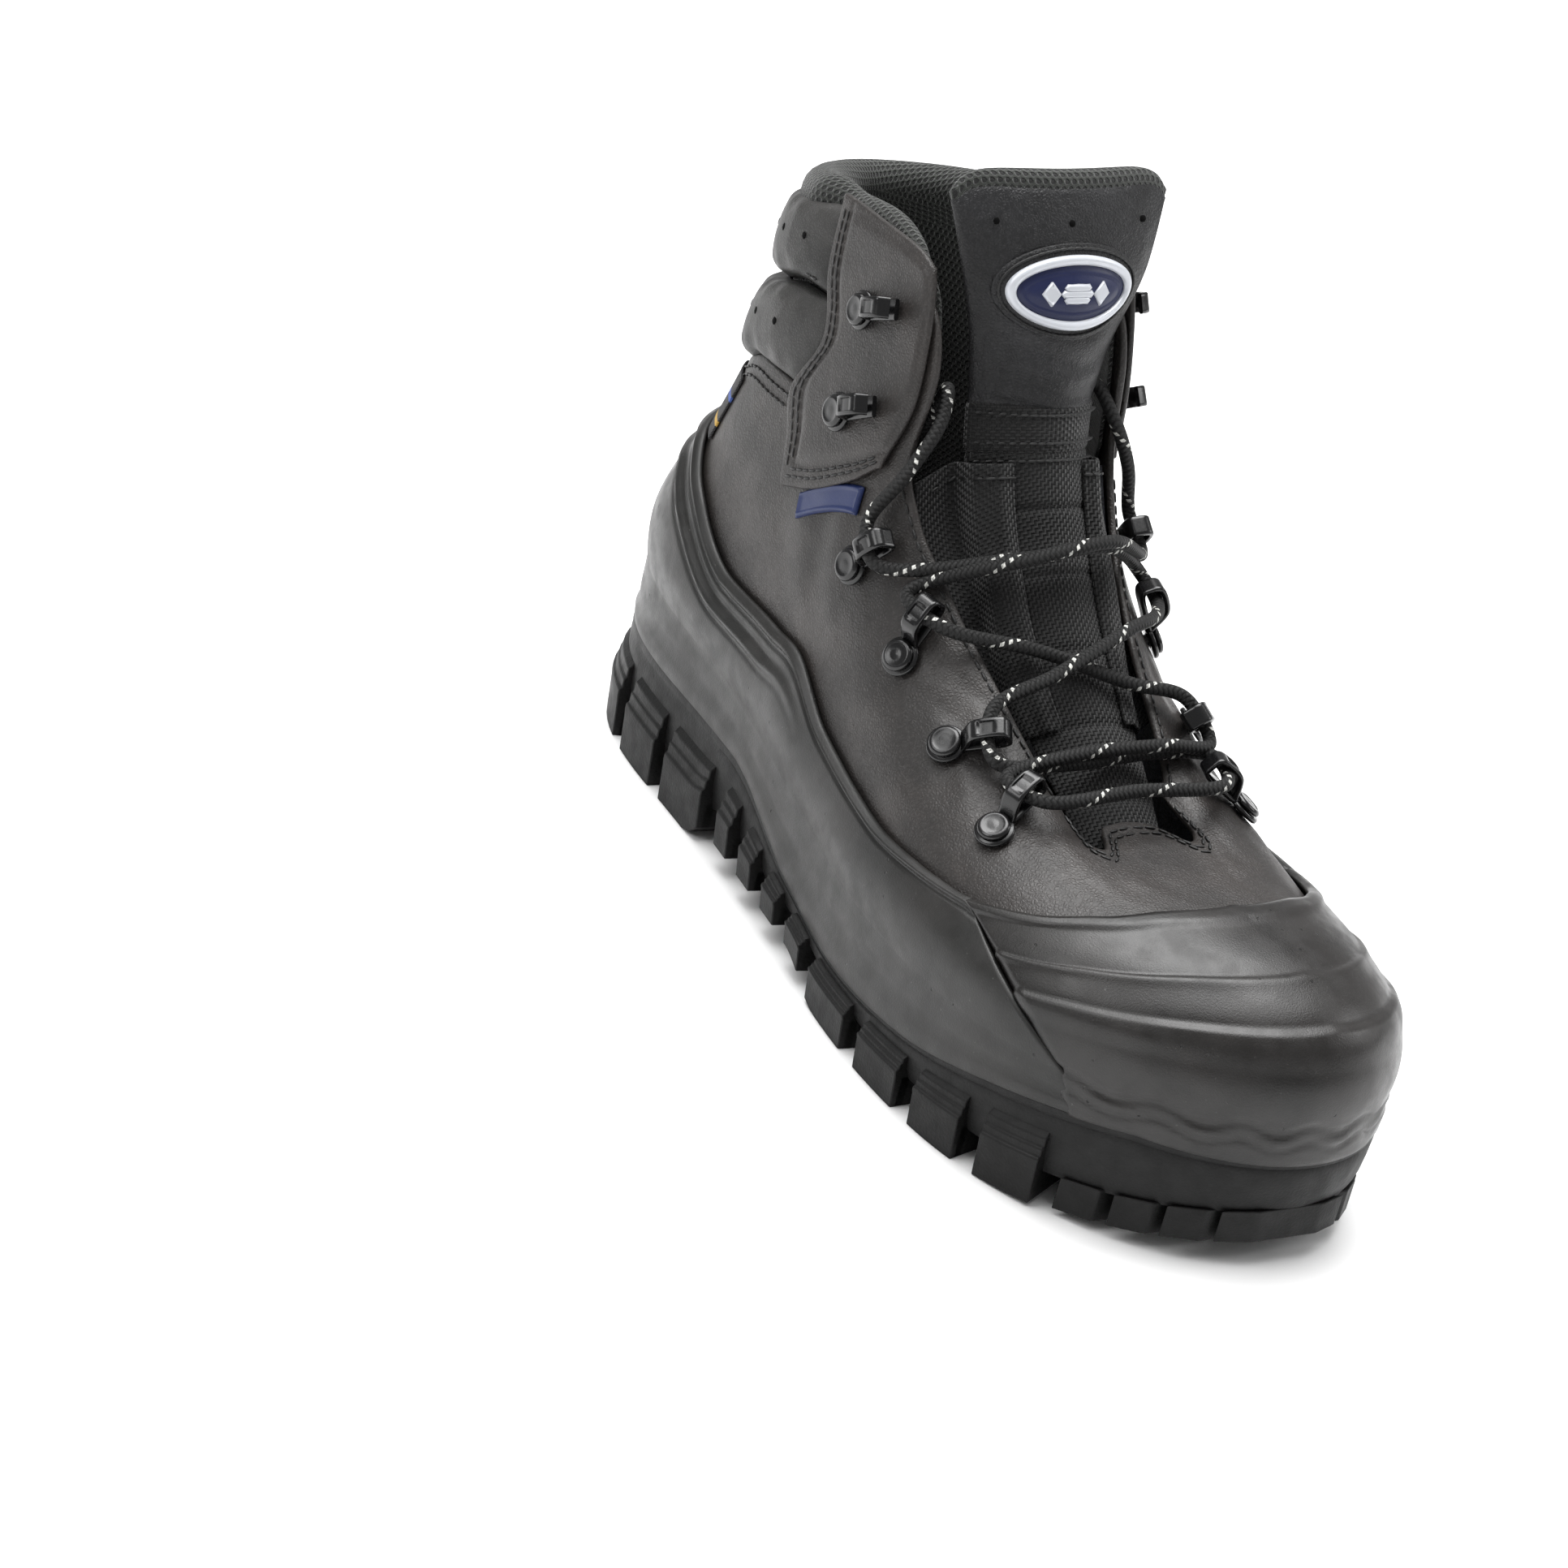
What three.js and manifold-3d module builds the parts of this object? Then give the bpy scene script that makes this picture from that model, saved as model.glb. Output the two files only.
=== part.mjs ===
// A right-foot steel toe work boot, ankle height, in millimetres: +X to the toe, +Y to the foot's inner side, +Z up.
// Every piece of the upper and of the sole follows one surface, the last. A place on the last is (column, row):
// column 0 is the toe and 11 the heel, going round by the outer side, and 22 is the toe again; row 0 is the feather
// edge at the sole and row 5 the edge of the throat and the collar.
import * as THREE from "three";
import { mergeVertices } from "three/addons/utils/BufferGeometryUtils.js";
import Module from "manifold-3d";

const wasm = await Module();
wasm.setup();

// Overall sizes.
const LENGTH = 302; // the last, heel to toe
const WIDTH = 112; // the last across the ball, if both sides were like the outer one
const HEIGHT = 178; // the collar above the ground

// Walls and clearances.
const GAP = 0.35; // between touching pieces
const PLY_GAP = 0.6; // between the layers of the upper, whose facets differ a little
const LEATHER = 2;
const SOLE_WALL = 5; // moulded sidewall outside the leather
const GUARD_EDGE = 2.5; // the toe guard and the sidewall at their top edges
const STEEL = 1.8; // toe cap
const COUNTER = 1.6; // heel stiffener
const LINING = 1; // textile lining of the vamp
const COLLAR_FOAM = 5;
const PANEL = 2.6; // padded ankle panel
const PAD_CROWN = 5.5; // how far a collar pad swells at its middle
const TREAD = 8; // depth of the lugs
const SOLE_FLOOR = 5; // rubber above the lugs
const CUP_WALL = 6; // rubber cup round the midsole
const BOARD = 2.2;
const PLATE = 1.2; // puncture-resistant plate
const FOOTBED = 4;
const TOE_SPRING = 9;
const ARCH_LIFT = 6; // how far the waist's tread stands clear of the ground

// Lace hardware.
const RIVET_R = 4.2;
const RIVET_SHANK_R = 1.8;
const HOOK_RING_R = 5.1;
const HOOK_REACH = 17; // rivet to tip
const HOOK_WIDTH = 5.4;
const HOOK_HEIGHT = 7.4;
const HOOK_WALL = 1.3;
const LACE_D = 3.5;
const LACE_SIDES = 8;

// The last as control points [x, y, z] of a smooth surface, one line a column from the toe to the heel by the outer
// side, six rows each, at the sizes below. The inner side is its mirror image, narrowed.
const DRAWN = { length: 302, width: 112, height: 178 };
const COLUMNS = 22;
const HEEL = COLUMNS / 2;
const ROWS = 5;
const INNER_SHARE = 0.92;
const CONTROL = [
  [[289, 0, 28], [299, 0, 46], [289, 0, 66], [260, 0, 71], [233, 0, 71], [208, 0, 70]],
  [[286, -18, 28], [294, -19, 46], [283, -17, 65], [256, -14, 71], [231, -12, 71], [208, -11, 70]],
  [[272, -35, 26], [279, -38, 46], [269, -33, 62], [247, -25, 69], [227, -20, 71], [207, -16, 70]],
  [[247, -46, 24], [251, -50, 45], [245, -45, 60], [231, -34, 68], [217, -26, 71], [202, -20, 73]],
  [[215, -51, 22], [215, -55, 44], [211, -51, 59], [203, -41, 69], [196, -31, 75], [189, -24, 80]],
  [[180, -49, 22], [180, -53, 44], [178, -51, 61], [173, -43, 75], [167, -35, 85], [163, -28, 92]],
  [[145, -41, 25], [145, -47, 46], [144, -46, 68], [142, -42, 87], [139, -36, 100], [138, -31, 108]],
  [[112, -37, 29], [112, -44, 52], [113, -44, 80], [116, -41, 104], [120, -36, 122], [126, -31, 130]],
  [[82, -35, 33], [82, -43, 56], [86, -43, 88], [96, -40, 120], [109, -34, 152], [121, -29, 186]],
  [[50, -35, 34], [48, -42, 56], [52, -42, 86], [59, -38, 114], [65, -34, 146], [66, -31, 178]],
  [[20, -29, 34], [14, -35, 56], [22, -33, 86], [31, -29, 114], [34, -28, 142], [35, -26, 168]],
  [[7, 0, 34], [0, 0, 54], [9, 0, 84], [20, 0, 112], [17, 0, 138], [13, 0, 160]],
];
// The foot's own curve, seen from above: [x, how far the middle line stands to the inner side].
const SWING = [[0, 1], [60, 0], [140, -3], [225, -3], [302, 3]];

const clamp = (t, low = 0, high = 1) => Math.min(high, Math.max(low, t));
const mix = (a, b, t) => a + (b - a) * t;
const smooth = (t) => clamp(t) ** 2 * (3 - 2 * clamp(t));
const wave = (t) => Math.sin(Math.PI * clamp(t));
const always = (value) => () => value;
const series = (n, from, to) => Array.from({ length: n + 1 }, (_, i) => mix(from, to, i / n));

// A value read off a list of [place, value] pairs, eased between them.
function along(pairs, x) {
  if (x <= pairs[0][0]) return pairs[0][1];
  const k = pairs.findIndex(([at]) => x <= at);
  if (k < 0) return pairs[pairs.length - 1][1];
  const [[x0, y0], [x1, y1]] = [pairs[k - 1], pairs[k]];
  return mix(y0, y1, smooth((x - x0) / (x1 - x0)));
}

const splineWeights = (t) =>
  [(1 - t) ** 3, 3 * t ** 3 - 6 * t ** 2 + 4, -3 * t ** 3 + 3 * t ** 2 + 3 * t + 1, t ** 3].map((w) => w / 6);

// A control point, mirrored past the heel and carried straight on past the first and last rows.
function control(column, row) {
  if (row < 0 || row > ROWS) {
    const edge = row < 0 ? 0 : ROWS;
    const inside = row < 0 ? 1 : ROWS - 1;
    return control(column, edge).multiplyScalar(2).sub(control(column, inside));
  }
  const k = ((column % COLUMNS) + COLUMNS) % COLUMNS;
  const [x, y, z] = CONTROL[k > HEEL ? COLUMNS - k : k][row];
  return new THREE.Vector3(x, k > HEEL ? -y * INNER_SHARE : y, z);
}

const scaleX = LENGTH / DRAWN.length;
const scaleY = WIDTH / DRAWN.width;
const scaleZ = HEIGHT / DRAWN.height;

function lastPoint(column, row) {
  const i = Math.floor(column);
  const j = clamp(Math.floor(row), 0, ROWS - 1);
  const p = new THREE.Vector3();
  splineWeights(column - i).forEach((wc, a) =>
    splineWeights(row - j).forEach((wr, b) => p.addScaledVector(control(i + a - 1, j + b - 1), wc * wr)),
  );
  p.y += along(SWING, p.x);
  return p.set(p.x * scaleX, p.y * scaleY, p.z * scaleZ);
}

const STEP = 0.002;
function lastNormal(column, row) {
  const round = lastPoint(column + STEP, row).sub(lastPoint(column - STEP, row));
  const up = lastPoint(column, row + STEP).sub(lastPoint(column, row - STEP));
  return up.cross(round).normalize();
}

// The place on the last at (column, row), lifted off it along its normal.
const onLast = (column, row, lift = 0) => lastPoint(column, row).addScaledVector(lastNormal(column, row), lift);

// ---- Meshes from grids of points ----

const vector = (p) => (Array.isArray(p) ? new THREE.Vector3(...p) : p);

function meshOf(points, triangles) {
  const geometry = new THREE.BufferGeometry();
  geometry.setAttribute("position", new THREE.Float32BufferAttribute(points.flatMap((p) => [p.x, p.y, p.z]), 3));
  const volume = triangles.reduce((sum, [a, b, c]) => sum + points[a].dot(points[b].clone().cross(points[c])), 0);
  geometry.setIndex(triangles.flatMap(([a, b, c]) => (volume < 0 ? [a, c, b] : [a, b, c])));
  return geometry;
}

const quad = (a, b, c, d) => [[a, b, c], [a, c, d]];

// A wall between two grids of the same size, [row][column]; closed into a ring when its columns go all the way round.
function wall(outer, inner, isRing = false) {
  const [rows, columns] = [outer.length, outer[0].length];
  const id = (side, i, j) => side * rows * columns + i * columns + (isRing ? j % columns : j);
  const triangles = [];
  const spans = isRing ? columns : columns - 1;
  for (let j = 0; j < spans; j++) {
    for (let i = 0; i < rows - 1; i++) {
      triangles.push(...quad(id(0, i, j), id(0, i, j + 1), id(0, i + 1, j + 1), id(0, i + 1, j)));
      triangles.push(...quad(id(1, i, j), id(1, i + 1, j), id(1, i + 1, j + 1), id(1, i, j + 1)));
    }
    triangles.push(...quad(id(0, 0, j), id(1, 0, j), id(1, 0, j + 1), id(0, 0, j + 1)));
    triangles.push(...quad(id(0, rows - 1, j), id(0, rows - 1, j + 1), id(1, rows - 1, j + 1), id(1, rows - 1, j)));
  }
  if (!isRing)
    for (let i = 0; i < rows - 1; i++) {
      const end = columns - 1;
      triangles.push(...quad(id(0, i, 0), id(0, i + 1, 0), id(1, i + 1, 0), id(1, i, 0)));
      triangles.push(...quad(id(0, i, end), id(1, i, end), id(1, i + 1, end), id(0, i + 1, end)));
    }
  return meshOf([...outer, ...inner].flat(), triangles);
}

// A body of stacked rings whose ends are closed straight across, from each column to the one facing it.
function stack(rings) {
  const n = rings[0].length;
  const id = (i, j) => i * n + (j % n);
  const triangles = [];
  for (let i = 0; i < rings.length - 1; i++)
    for (let j = 0; j < n; j++) triangles.push(...quad(id(i, j), id(i, j + 1), id(i + 1, j + 1), id(i + 1, j)));
  for (let j = 0; j < n / 2; j++) {
    const facing = n - j;
    const last = rings.length - 1;
    if (j > 0)
      triangles.push([id(0, j), id(0, facing), id(0, j + 1)], [id(last, j), id(last, j + 1), id(last, facing)]);
    if (facing - 1 > j + 1)
      triangles.push(
        [id(0, facing), id(0, facing - 1), id(0, j + 1)],
        [id(last, facing), id(last, j + 1), id(last, facing - 1)],
      );
  }
  return meshOf(rings.flat(), triangles);
}

function solidOf(geometry) {
  const bare = geometry.clone();
  bare.deleteAttribute("normal");
  bare.deleteAttribute("uv");
  const merged = mergeVertices(bare, 1e-4);
  return new wasm.Manifold(
    new wasm.Mesh({
      numProp: 3,
      vertProperties: merged.attributes.position.array,
      triVerts: new Uint32Array(merged.index.array),
    }),
  );
}

function geometryOf(solid) {
  const { numProp, vertProperties, triVerts } = solid.getMesh();
  const positions = Array.from({ length: vertProperties.length / numProp }, (_, i) => [
    ...vertProperties.subarray(i * numProp, i * numProp + 3),
  ]).flat();
  const geometry = new THREE.BufferGeometry();
  geometry.setAttribute("position", new THREE.Float32BufferAttribute(positions, 3));
  geometry.setIndex(Array.from(triVerts));
  return geometry;
}

const joined = (...geometries) => geometryOf(geometries.map(solidOf).reduce((a, b) => a.add(b)));
const cut = (geometry, ...tools) => geometryOf(tools.map(solidOf).reduce((a, b) => a.subtract(b), solidOf(geometry)));

const boot = new THREE.Group();
const body = new THREE.Group(); // holds the boot in the last's frame, with the heel at x = 0
boot.add(body);

const FINISHES = {
  leather: [0x38383a, 0.62, 0],
  padLeather: [0x37373a, 0.6, 0],
  tongueLeather: [0x333336, 0.6, 0],
  sole: [0x2b2b2c, 0.6, 0],
  outsole: [0x1e1e1f, 0.65, 0],
  guard: [0x303031, 0.55, 0],
  fabric: [0x161616, 0.9, 0],
  mesh: [0x232523, 0.95, 0],
  steel: [0x9a9da0, 0.4, 1],
  board: [0xb5a58c, 0.9, 0],
  footbed: [0x2a2c30, 0.9, 0],
  nylon: [0x1b1b1c, 0.35, 0],
  lace: [0x141414, 0.85, 0],
  badgeRim: [0xc9ccd2, 0.4, 0],
  badgeFace: [0x1f2547, 0.45, 0],
  tag: [0x191a1c, 0.8, 0],
};

function place(name, finish, geometry, parent = body) {
  const [color, roughness, metalness] = FINISHES[finish];
  const mesh = new THREE.Mesh(geometry, new THREE.MeshStandardMaterial({ color, roughness, metalness }));
  mesh.name = name;
  parent.add(mesh);
  return mesh;
}

// ---- Sole ----

const RING = series(43, 0, COLUMNS - 0.5); // 44 columns round the boot
const WIDEST_ROW = 0.7;

// The sole's outline seen from above, moved inwards by inset, at the given height.
function outline(column, inset, z) {
  const p = lastPoint(column, WIDEST_ROW);
  const t = lastPoint(column + STEP, WIDEST_ROW).sub(lastPoint(column - STEP, WIDEST_ROW));
  const out = new THREE.Vector3(t.y, -t.x, 0).normalize();
  return p.addScaledVector(out, (SOLE_WALL - inset) * Math.sign(out.dot(lastNormal(column, WIDEST_ROW)))).setZ(z);
}

const feather = (column) => lastPoint(column, 0).z;
const TOE_BREAK = 238; // where the sole starts to rise to the toe, on the last as drawn
function groundAt(x) {
  const u = x / scaleX;
  return TOE_SPRING * clamp((u - TOE_BREAK) / (DRAWN.length - TOE_BREAK)) ** 2 + 3 * clamp((10 - u) / 12) ** 2;
}
// The waist of the tread, from the heel breast to the ball.
const waistAt = (x) => smooth((x / scaleX - 84) / 10) * (1 - smooth((x / scaleX - 150) / 24));
const treadRoot = (x) => groundAt(x) + TREAD + ARCH_LIFT * waistAt(x) * 0.5;
// Height of the parting line between the rubber outsole and the moulded midsole, on the last as drawn.
const PARTING = [[0, 31], [96, 31], [140, 19], [172, 15.5], [208, 18], [244, 25], [278, 31]];
const CUP_RIM = 1.5; // the least that the cup's wall stands above its floor
const cupFloor = (x) => treadRoot(x) + SOLE_FLOOR;
const partingAt = (x) => Math.max(along(PARTING, x / scaleX) * scaleZ, cupFloor(x) + CUP_RIM);

const ringOf = (columns, point) => columns.map(point);
// Heights belong to a column, so that the pieces of the sole meet whatever their insets.
const atOutline = (inset, height) => (column) => outline(column, inset, height(outline(column, 0, 0).x, column));

// Lugs: [first column, last column, how far it reaches in], outer side; the inner side repeats them.
const LUGS = [
  [2.62, 3.12, 30], [3.32, 3.78, 26], [3.98, 4.5, 24], [4.72, 5.34, 24],
  [5.56, 5.86, 14], [6.1, 6.36, 12], [6.6, 6.86, 12], [7.1, 7.36, 14],
  [7.7, 8.42, 26], [8.62, 9.2, 24], [9.4, 10.1, 22],
];
const TOE_BARS = [[0.5, 0.95], [1.1, 1.5], [1.62, 1.98], [2.1, 2.45]]; // the columns that each bar lies between
const LUG_STANDS_OUT = 2.2;
const LUG_TOP = 0.62; // how far up the cup's wall a lug climbs, as a share

// A lug is a block under the sole, depth wide, and a shorter one that climbs the outside of the cup.
function lug(from, to, depth) {
  const columns = series(2, from, to);
  const foot = (inset) => columns.map((c) => {
    const p = outline(c, inset, 0);
    return p.setZ(groundAt(p.x) + ARCH_LIFT * waistAt(p.x));
  });
  const top = (inset, share) => columns.map((c) => {
    const p = outline(c, inset, 0);
    return p.setZ(mix(treadRoot(p.x), partingAt(p.x), share));
  });
  const tread = wall([foot(0), top(0, 0.08)], [foot(depth), top(depth + 1, 0.08)]);
  const climb = wall(
    [foot(-LUG_STANDS_OUT * 0.4), top(-LUG_STANDS_OUT, 0.1), top(-LUG_STANDS_OUT * 0.5, LUG_TOP)],
    [foot(CUP_WALL / 2), top(CUP_WALL / 2, 0.1), top(CUP_WALL / 2, LUG_TOP)],
  );
  return [tread, climb];
}

// A bar across the toe, between two columns and their twins on the inner side.
function toeBar(from, to) {
  const edge = (column, height) => [-column, column].map((c) => {
    const p = outline(c, 1, 0);
    return p.setZ(height(p.x));
  });
  const [ground, root] = [groundAt, (x) => treadRoot(x) + 1];
  return wall([edge(from, ground), edge(from, root)], [edge(to, ground), edge(to, root)]);
}

// A block from the tread's face to above its root, over a plan of two rows of two [x, y] corners.
function block(corners) {
  const at = (height) => corners.map((row) => row.map(([x, y]) => new THREE.Vector3(x, y, height(x))));
  return wall(at(groundAt), at((x) => treadRoot(x) + 1));
}

// The middle of the tread: a disc under the ball with tapered lugs round it, and three bars under the heel.
const BALL = { x: 196, y: -2, disc: 8, lugs: 8, from: 12, to: 23, spread: 0.26, turned: 0.2 };
const HEEL_BARS = { rears: [30, 46, 62], length: 9, sides: [-9, 13] };
function treadMiddle() {
  const disc = new THREE.CylinderGeometry(BALL.disc, BALL.disc, TREAD + 1, 16).rotateX(Math.PI / 2)
    .translate(BALL.x, BALL.y, groundAt(BALL.x) + (TREAD + 1) / 2);
  const tapered = series(BALL.lugs - 1, BALL.turned, BALL.turned + 2 * Math.PI * (1 - 1 / BALL.lugs)).map((angle) =>
    block([BALL.from, BALL.to].map((r) => [-BALL.spread, BALL.spread].map((side) =>
      [BALL.x + r * Math.cos(angle + side), BALL.y + r * Math.sin(angle + side)]))));
  const bars = HEEL_BARS.rears.map((x) =>
    block([x, x + HEEL_BARS.length].map((u) => HEEL_BARS.sides.map((y) => [u, y]))));
  return [disc, ...tapered, ...bars];
}

function outsole() {
  const cup = stack([
    ringOf(RING, atOutline(CUP_WALL, cupFloor)),
    ringOf(RING, atOutline(CUP_WALL, partingAt)),
    ringOf(RING, atOutline(0, partingAt)),
    ringOf(RING, atOutline(0.8, (x) => mix(treadRoot(x), partingAt(x), 0.3))),
    ringOf(RING, atOutline(2.4, treadRoot)),
  ]);
  const both = LUGS.flatMap(([a, b, d]) => [[a, b, d], [COLUMNS - b, COLUMNS - a, d]]);
  return joined(cup, ...both.flatMap((l) => lug(...l)), ...TOE_BARS.map((b) => toeBar(...b)), ...treadMiddle());
}

// Top edge of the sidewall, as a row of the last, by column; the toe guard takes over in front of its slanted end.
const SIDEWALL_TOP = [
  [3.9, 1.95], [4.5, 1.78], [5.2, 1.6], [6.2, 1.55], [6.9, 1.72], [7.4, 1.58], [8.3, 1.44], [9.2, 1.85], [9.8, 2.15],
  [11, 2.25],
];
const GUARD_TOP = [[0, 3.38], [1.5, 3.2], [2.6, 2.77], [3.3, 2.3], [3.9, 1.93]];
const SPLIT_LOW = 2.5; // the column where guard and sidewall meet at the parting line
const SPLIT_HIGH = 3.9; // and at their top edges
const SPLIT_BLEND = 4; // columns over which the sidewall's own columns take up the slant
const SPLIT_CLEARANCE = 0.03; // columns

// The column on the outer side, whichever side a column is on.
const outerColumn = (column) => {
  const c = Math.abs(column) % COLUMNS;
  return c > HEEL ? COLUMNS - c : c;
};
const bySide = (pairs) => (column) => along(pairs, outerColumn(column));

// A moulded wall outside the last, from the parting line to topRow(column), with its columns slanted by columnAt.
function moulded(columns, columnAt, topRow, rows) {
  // Where the sole is thick, the wall's foot reaches in over the cup's rim to the slab.
  const footInset = (c, low) => (low < feather(c) - 1 ? CUP_WALL + 1.5 : CUP_WALL - 0.8);
  const side = (lift, inset, firstRow) =>
    series(rows, 0, 1).map((share) => columns.map((base) => {
      const c = columnAt(base, share);
      const low = partingAt(outline(c, 0, 0).x) + GAP;
      if (share === 0) return outline(c, inset(c, low), low);
      return onLast(c, mix(firstRow, topRow(c), share), lift(share));
    }));
  return wall(
    side((share) => mix(SOLE_WALL, GUARD_EDGE, smooth(share * 1.6 - 0.6)), always(0), 0.5),
    side(always(PLY_GAP + 0.2), footInset, 0.1),
  );
}

function midsole() {
  const slab = stack([
    ringOf(RING, atOutline(CUP_WALL + GAP, (x) => cupFloor(x) + GAP)),
    ringOf(RING, atOutline(CUP_WALL + GAP, (x, column) => feather(column) - GAP)),
  ]);
  const slant = (base, share) => {
    const c = outerColumn(base);
    const moved = c + (SPLIT_HIGH - SPLIT_LOW) * share * clamp(1 - (c - SPLIT_LOW) / SPLIT_BLEND);
    return base > HEEL ? COLUMNS - moved : moved;
  };
  const columns = series(34, SPLIT_LOW, COLUMNS - SPLIT_LOW);
  columns[0] += SPLIT_CLEARANCE;
  columns[columns.length - 1] -= SPLIT_CLEARANCE;
  return joined(slab, moulded(columns, slant, bySide(SIDEWALL_TOP), 8));
}

function toeGuard() {
  const slant = (base, share) => base * (1 + (SPLIT_HIGH / SPLIT_LOW - 1) * share);
  return moulded(series(10, -SPLIT_LOW, SPLIT_LOW), slant, bySide(GUARD_TOP), 10);
}

// A flat layer inside the lasted upper, from low to high above the feather edge.
function layer(inset, low, high) {
  const ring = (height) => RING.map((c) => {
    const p = lastPoint(c, 0.05);
    const t = lastPoint(c + STEP, 0.05).sub(lastPoint(c - STEP, 0.05));
    const out = new THREE.Vector3(t.y, -t.x, 0).normalize();
    return p.addScaledVector(out, -inset * Math.sign(out.dot(lastNormal(c, 0.3)))).setZ(feather(c) + height);
  });
  return stack([ring(low), ring(high)]);
}

place("outsole", "outsole", outsole());
place("midsole", "sole", midsole());
place("toe_guard", "guard", toeGuard());

// ---- Layers of the upper ----

// A layer between two lifts off the last: at each share of the way up, the columns and rows it is made of.
function shell(shares, columnsAt, rowAt, outside, inside) {
  const side = (lift) =>
    shares.map((share) => columnsAt(share).map((c) => {
      const r = rowAt(c, share);
      return onLast(c, r, lift(c, r, share));
    }));
  return wall(side(outside), side(inside));
}
const between = (low, high) => (c, share) => mix(low(c), high(c), share);

// Top edge of the outer leather, a row by column: the two scallops over the vamp, the throat, and round the heel.
const LEATHER_TOP = [
  [0, 5.2], [0.6, 5.15], [1.5, 4.62], [2.1, 4.72], [2.7, 5.35], [4.5, 5.4], [5.6, 5.3], [6.5, 4.75], [7, 4.45],
  [7.5, 4.85], [8, 4.75], [8.5, 3.3], [9.4, 3.25], [10, 3], [11, 2.9],
];
const leatherTop = bySide(LEATHER_TOP);
// The leather is cut in a vamp and two quarters, which meet under the ankle panels and at the back of the heel.
const QUARTER_FRONT = 6.5;
const BUTT = 0.006; // columns that a piece stops short of a butted seam
const cutBetween = (steps, from, to) => series(steps, from + BUTT, to - BUTT);
const leather = (steps, from, to) => shell(series(12, 0, 1), always(cutBetween(steps, from, to)),
  between(always(0.02), leatherTop), always(0), always(-LEATHER));

const underLeather = -LEATHER - PLY_GAP;
const TOE_CAP_BACK = 3; // the last column that the steel covers
const TOE_CAP_TOP = [[0, 2.95], [2.2, 2.5], [3, 2.1]];
const toeCap = shell(series(8, 0, 1), always(series(12, -TOE_CAP_BACK, TOE_CAP_BACK)),
  between(always(0.16), bySide(TOE_CAP_TOP)), always(underLeather), always(underLeather - STEEL));

const COUNTER_FRONT = 8.5;
const COUNTER_TOP = 2.3;
const heelCounter = shell(series(6, 0, 1), always(series(10, COUNTER_FRONT, COLUMNS - COUNTER_FRONT)),
  between(always(0.2), always(COUNTER_TOP)), always(underLeather), always(underLeather - COUNTER));

// The vamp's lining passes inside the toe cap and then lies against the leather.
const VAMP_LINING_BACK = 7;
const insideSteel = underLeather - STEEL - PLY_GAP;
const vampLining = (thickness) => (c) =>
  mix(insideSteel, underLeather - 0.2, smooth((outerColumn(c) - TOE_CAP_BACK - 0.1) / 0.9)) - thickness;
const vampLiningTop = (c) => Math.min(leatherTop(c), 4.9) - 0.15;
const vampLiningShell = shell(series(8, 0, 1), always(series(20, -VAMP_LINING_BACK, VAMP_LINING_BACK)),
  between(always(0.35), vampLiningTop), vampLining(0), vampLining(LINING));

// The collar's lining lies inside the heel counter, is padded above it, and rolls out over the collar's top edge.
const LINING_FRONT = 7.2;
const FOAM_START = 8.1;
const FOAM_FULL = 8.9;
const ROLL_ROW = 4.9; // the row where the rim starts to roll
const ROLL_OUT = 3;
const insideCounter = underLeather - COUNTER - PLY_GAP;
const towardsHeel = (c, from, over) => smooth((outerColumn(c) - from) / over);
const liningOutside = (c, r) => {
  if (r > ROLL_ROW) return mix(underLeather, ROLL_OUT, towardsHeel(c, FOAM_FULL + 0.3, 0.4));
  const overCounter = smooth((r - COUNTER_TOP - 0.25) / 0.3);
  return mix(underLeather, insideCounter, towardsHeel(c, COUNTER_FRONT - 0.6, 0.5) * (1 - overCounter));
};
const liningInside = (c, r) => {
  const padded = insideCounter - LINING - (COLLAR_FOAM - LINING) * smooth(r / 1.5);
  return mix(underLeather - LINING, padded, towardsHeel(c, FOAM_START, FOAM_FULL - FOAM_START));
};
const LINING_TOP = [[7.2, 4.2], [7.5, 4.6], [8, 4.8], [8.5, 4.88], [9, 5.05], [11, 5.05]];
const LINING_SHARES = [0, 0.12, 0.25, 0.37, 0.46, 0.55, 0.65, 0.76, 0.88, 0.965, 0.975, 1];
const LINING_SEAM = 9.6; // where the quarter's lining meets the heel's
const collarLining = (steps, from, to) => shell(LINING_SHARES, always(cutBetween(steps, from, to)),
  between(always(0.4), bySide(LINING_TOP)), liningOutside, liningInside);

// ---- Collar pads and ankle panels ----

// The panel's rear edge, a column by row.
const PANEL_REAR = [[2.57, 8.17], [2.92, 8.41], [3.28, 8.7], [3.8, 8.66], [4.36, 8.97], [4.97, 9.11]];
const PAD_SEAM = [[8.7, 4.1], [9.2, 4.1], [9.9, 3.94], [11, 3.85]]; // rows by column
const PAD_TOP = 4.86;
const PAD_MARGIN = 0.05;
const padSeam = bySide(PAD_SEAM);
const above = (edge) => (c) => edge(c) + PAD_MARGIN;
const below = (edge) => (c) => edge(c) - PAD_MARGIN;

// A swollen pad round the heel between two rows; its front ends follow the ankle panels.
function collarPad(low, high) {
  const columnsAt = (share) => {
    const front = along(PANEL_REAR, mix(low(9), high(9), share)) + PAD_MARGIN;
    return series(16, front, COLUMNS - front);
  };
  const crown = (c, r, share) =>
    PAD_CROWN * Math.sqrt(wave(share)) * Math.sqrt(clamp((outerColumn(c) - along(PANEL_REAR, r)) / 0.5));
  return shell(series(7, 0, 1), columnsAt, between(low, high), crown, always(-LEATHER));
}

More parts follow.
